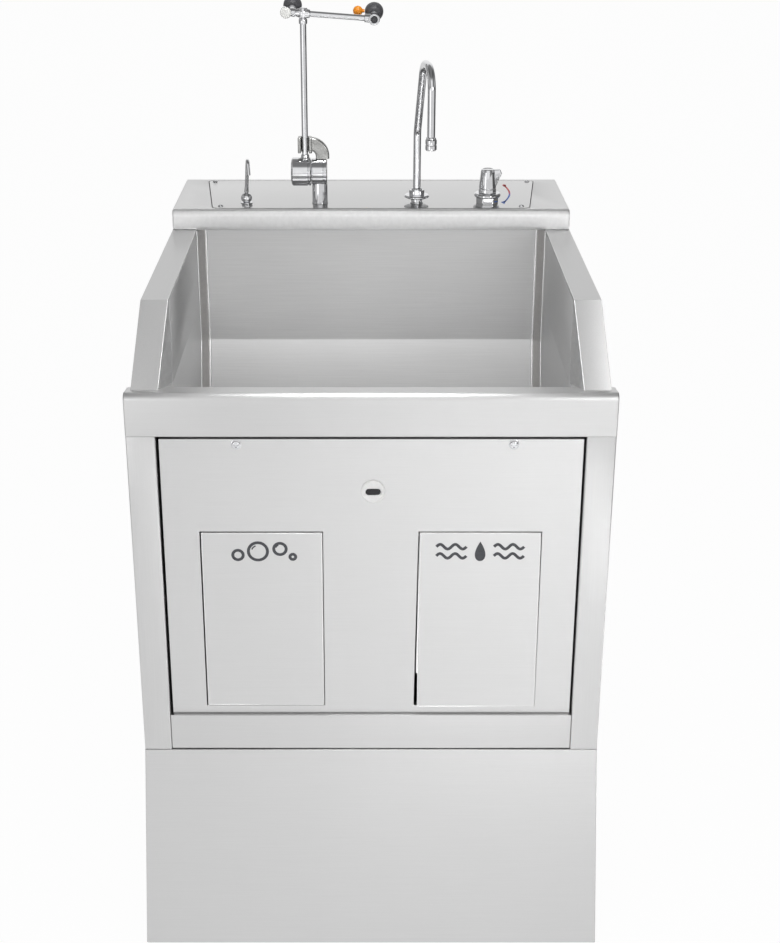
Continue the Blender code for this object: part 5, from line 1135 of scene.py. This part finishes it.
def studio():
    """A white floor, a room that is pale in front and behind and dark above and at the sides, and two grey cards."""
    # Matt vinyl, shown at an even white to the camera and at a fainter one in reflections
    made, tree, shader = material("matt_white_vinyl_floor")
    spot = add(tree, "TexCoord").outputs["Object"]
    fleck = add(tree, "TexNoise", {"Vector": spot}, Scale=1000 / 60, Detail=3.0)
    tone = ramp(tree, fleck.outputs["Fac"], (0.3, linear("#f2f2f2")), (0.7, linear("#f6f6f6")))
    tree.links.new(tone.outputs["Color"], shader.inputs["Base Color"])
    shader.inputs["Roughness"].default_value = 0.8
    shader.inputs["Specular IOR Level"].default_value = 0.0
    path = add(tree, "LightPath")
    seen = add(tree, "Math", {0: path.outputs["Is Glossy Ray"], 1: path.outputs["Is Transmission Ray"]},
               operation="MAXIMUM")
    faint = times(tree, seen.outputs[0], 0.60)
    full = times(tree, path.outputs["Is Camera Ray"], 0.97)
    share = add(tree, "Math", {0: faint, 1: full}, operation="MAXIMUM")
    white = add(tree, "Emission", Color=(1, 1, 1, 1), Strength=1.0)
    both = add(tree, "MixShader", {0: share.outputs[0], 1: shader.outputs["BSDF"], 2: white.outputs["Emission"]})
    tree.links.new(both.outputs[0], tree.nodes["Material Output"].inputs["Surface"])
    side = 30.0
    floor = stage_sheet("floor", [(-side, -side, 0), (side, -side, 0), (side, side, 0), (-side, side, 0)], made)

    world = bpy.data.worlds.new("studio_room")
    bpy.context.scene.world = world
    world.use_nodes = True
    tree = world.node_tree
    tree.nodes.clear()
    spot = add(tree, "TexCoord").outputs["Generated"]
    way = add(tree, "SeparateXYZ", {"Vector": spot})
    across = add(tree, "MapRange", {"Value": way.outputs["X"]}, From_Min=-1.0, From_Max=1.0)
    walls = ramp(tree, across.outputs["Result"], (0.0, grey(0.55)), (0.10, grey(0.30)), (0.22, grey(0.34)),
                 (0.36, grey(0.88)), (0.42, grey(0.92)), (0.62, grey(0.92)), (0.68, grey(0.80)), (0.80, grey(0.22)),
                 (0.90, grey(0.14)), (1.0, grey(0.50)))
    ceiling = ramp(tree, way.outputs["Z"], (0.62, grey(1.0)), (0.80, grey(0.24)), (1.0, grey(0.22)))
    room = add(tree, "Mix", data_type="RGBA", blend_type="MULTIPLY")
    room.inputs[0].default_value = 1.0
    tree.links.new(walls.outputs["Color"], room.inputs[6])
    tree.links.new(ceiling.outputs["Color"], room.inputs[7])
    shown = add(tree, "Background", {"Color": room.outputs[2]}, Strength=1.0)
    tree.links.new(shown.outputs[0], add(tree, "OutputWorld").inputs["Surface"])

    # Cards beside the sink stand between the chrome and the white floor, so that it gets dark edges
    for name, x, light in (("card_left", -2.2, 0.26), ("card_right", 2.2, 0.10)):
        made, tree, _ = material(name + "_grey_felt")
        spot = add(tree, "TexCoord").outputs["Object"]
        weave = add(tree, "TexNoise", {"Vector": spot}, Scale=1000 / 8, Detail=2.0)
        tone = ramp(tree, weave.outputs["Fac"], (0.3, grey(0.9 * light)), (0.7, grey(1.1 * light)))
        glow = add(tree, "Emission", {"Color": tone.outputs["Color"]}, Strength=1.0)
        tree.links.new(glow.outputs["Emission"], tree.nodes["Material Output"].inputs["Surface"])
        card = stage_sheet(name, [(x, -0.6, 0), (x, 3.5, 0), (x, 3.5, 1.5), (x, -0.6, 1.5)], made)
        card.visible_camera = False
        card.visible_diffuse = False


def lighting():
    """Soft square lamps: name, place, aim, width, height, spread in degrees and power in watts."""
    lamps = (
        ("floor_right", (2.2, -2.6, 2.4), (0.85, -2.5, 0), 0.8, 0.8, 60, 22),
        ("right_box", (1.5, -2.4, 1.6), (0.35, -0.3, 1.05), 0.6, 0.6, 60, 0.8),
        ("floor_far", (0.5, -5.0, 2.2), (0.5, -4.9, 0), 1.5, 1.5, 70, 40),
        ("left_box", (-1.5, -2.4, 1.0), (-0.3, -0.3, 0.8), 0.6, 1.2, 180, 3.5),
        ("overhead", (0, -0.6, 2.8), (0, -0.1, 0.8), 0.8, 0.8, 120, 9),
        ("front_low", (0.5, -3.0, 1.3), (0, 0, 1.05), 1.6, 0.5, 60, 0.65),
        ("lip_top", (0, -0.6, 2.8), (0, -0.1, 0.8), 0.8, 0.8, 120, 2.5),
        ("seam_front", (0, -2.8, 1.6), (0, 0, 1.0), 0.4, 1.2, 90, 12),
        ("floor_near", (0.3, -1.0, 1.5), (0.3, -0.95, 0), 0.6, 0.6, 60, 1.2),
        ("floor_side", (1.7, -0.6, 1.4), (1.45, -0.5, 0), 0.5, 0.5, 40, 4),
    )
    # The lamp above would leave white bands on chrome, the deck plate, the edges painted bright and the rail, so it
    # lights everything else. The low lamp in front lifts the bowl, its corner strips of painted shade and the edges
    # painted bright, which also get a weak lamp from above. A lamp in front is for the bars of painted highlight alone
    linked = ("overhead", "front_low", "lip_top", "seam_front")
    lit = {name: bpy.data.collections.new("lit_by_" + name) for name in linked}
    for thing in bpy.context.scene.objects:
        if thing.type == "MESH" and thing.data.materials:
            finish = thing.data.materials[0]
            if finish not in (CHROME, POLISHED_SHADED, PAINTED_BRIGHT_EDGE) and thing.name != "rail":
                lit["overhead"].objects.link(thing)
            if finish in (BOWL_STEEL, PAINTED_BRIGHT_EDGE, CORNER_SHADE):
                lit["front_low"].objects.link(thing)
            if finish == PAINTED_BRIGHT_EDGE:
                lit["lip_top"].objects.link(thing)
            if finish == PALE_HIGHLIGHT:
                lit["seam_front"].objects.link(thing)
    for name, place, aim, width, tall, spread, power in lamps:
        light = bpy.data.lights.new(name, "AREA")
        light.shape = "RECTANGLE"
        light.size = width
        light.size_y = tall
        light.energy = power
        light.spread = math.radians(spread)
        lamp = bpy.data.objects.new(name, light)
        lamp.location = place
        look = np.array(aim, float) - np.array(place, float)
        flat = math.hypot(look[0], look[1])
        lamp.rotation_euler = (math.pi / 2 + math.atan2(look[2], flat), 0, math.atan2(look[1], look[0]) - math.pi / 2)
        bpy.context.scene.collection.objects.link(lamp)
        if name in lit:
            lamp.light_linking.receiver_collection = lit[name]


def camera():
    """The photograph's view: 22.8 degrees down, the sink's middle a little left of the frame's."""
    lens = bpy.data.cameras.new("photo_view")
    lens.sensor_width = 36
    lens.lens = 60.984
    lens.shift_x = 0.0201
    eye = bpy.data.objects.new("photo_view", lens)
    eye.location = (0, -2.4959, 1.7529)
    eye.rotation_euler = (math.radians(90 - 22.8), 0, 0)
    bpy.context.scene.collection.objects.link(eye)
    bpy.context.scene.camera = eye


bpy.context.scene.view_settings.view_transform = "Standard"
skirt()
front_frame()
apron()
access_panel()
knee_panels()
knee_signs()
screws()
sensor()
bowl()
guards()
cabinet_sides()
deck()
deck_plate()
turn_mark()
eyewash()
faucet()
mixer()
soap_spout()
carry_over()
studio()
lighting()
camera()
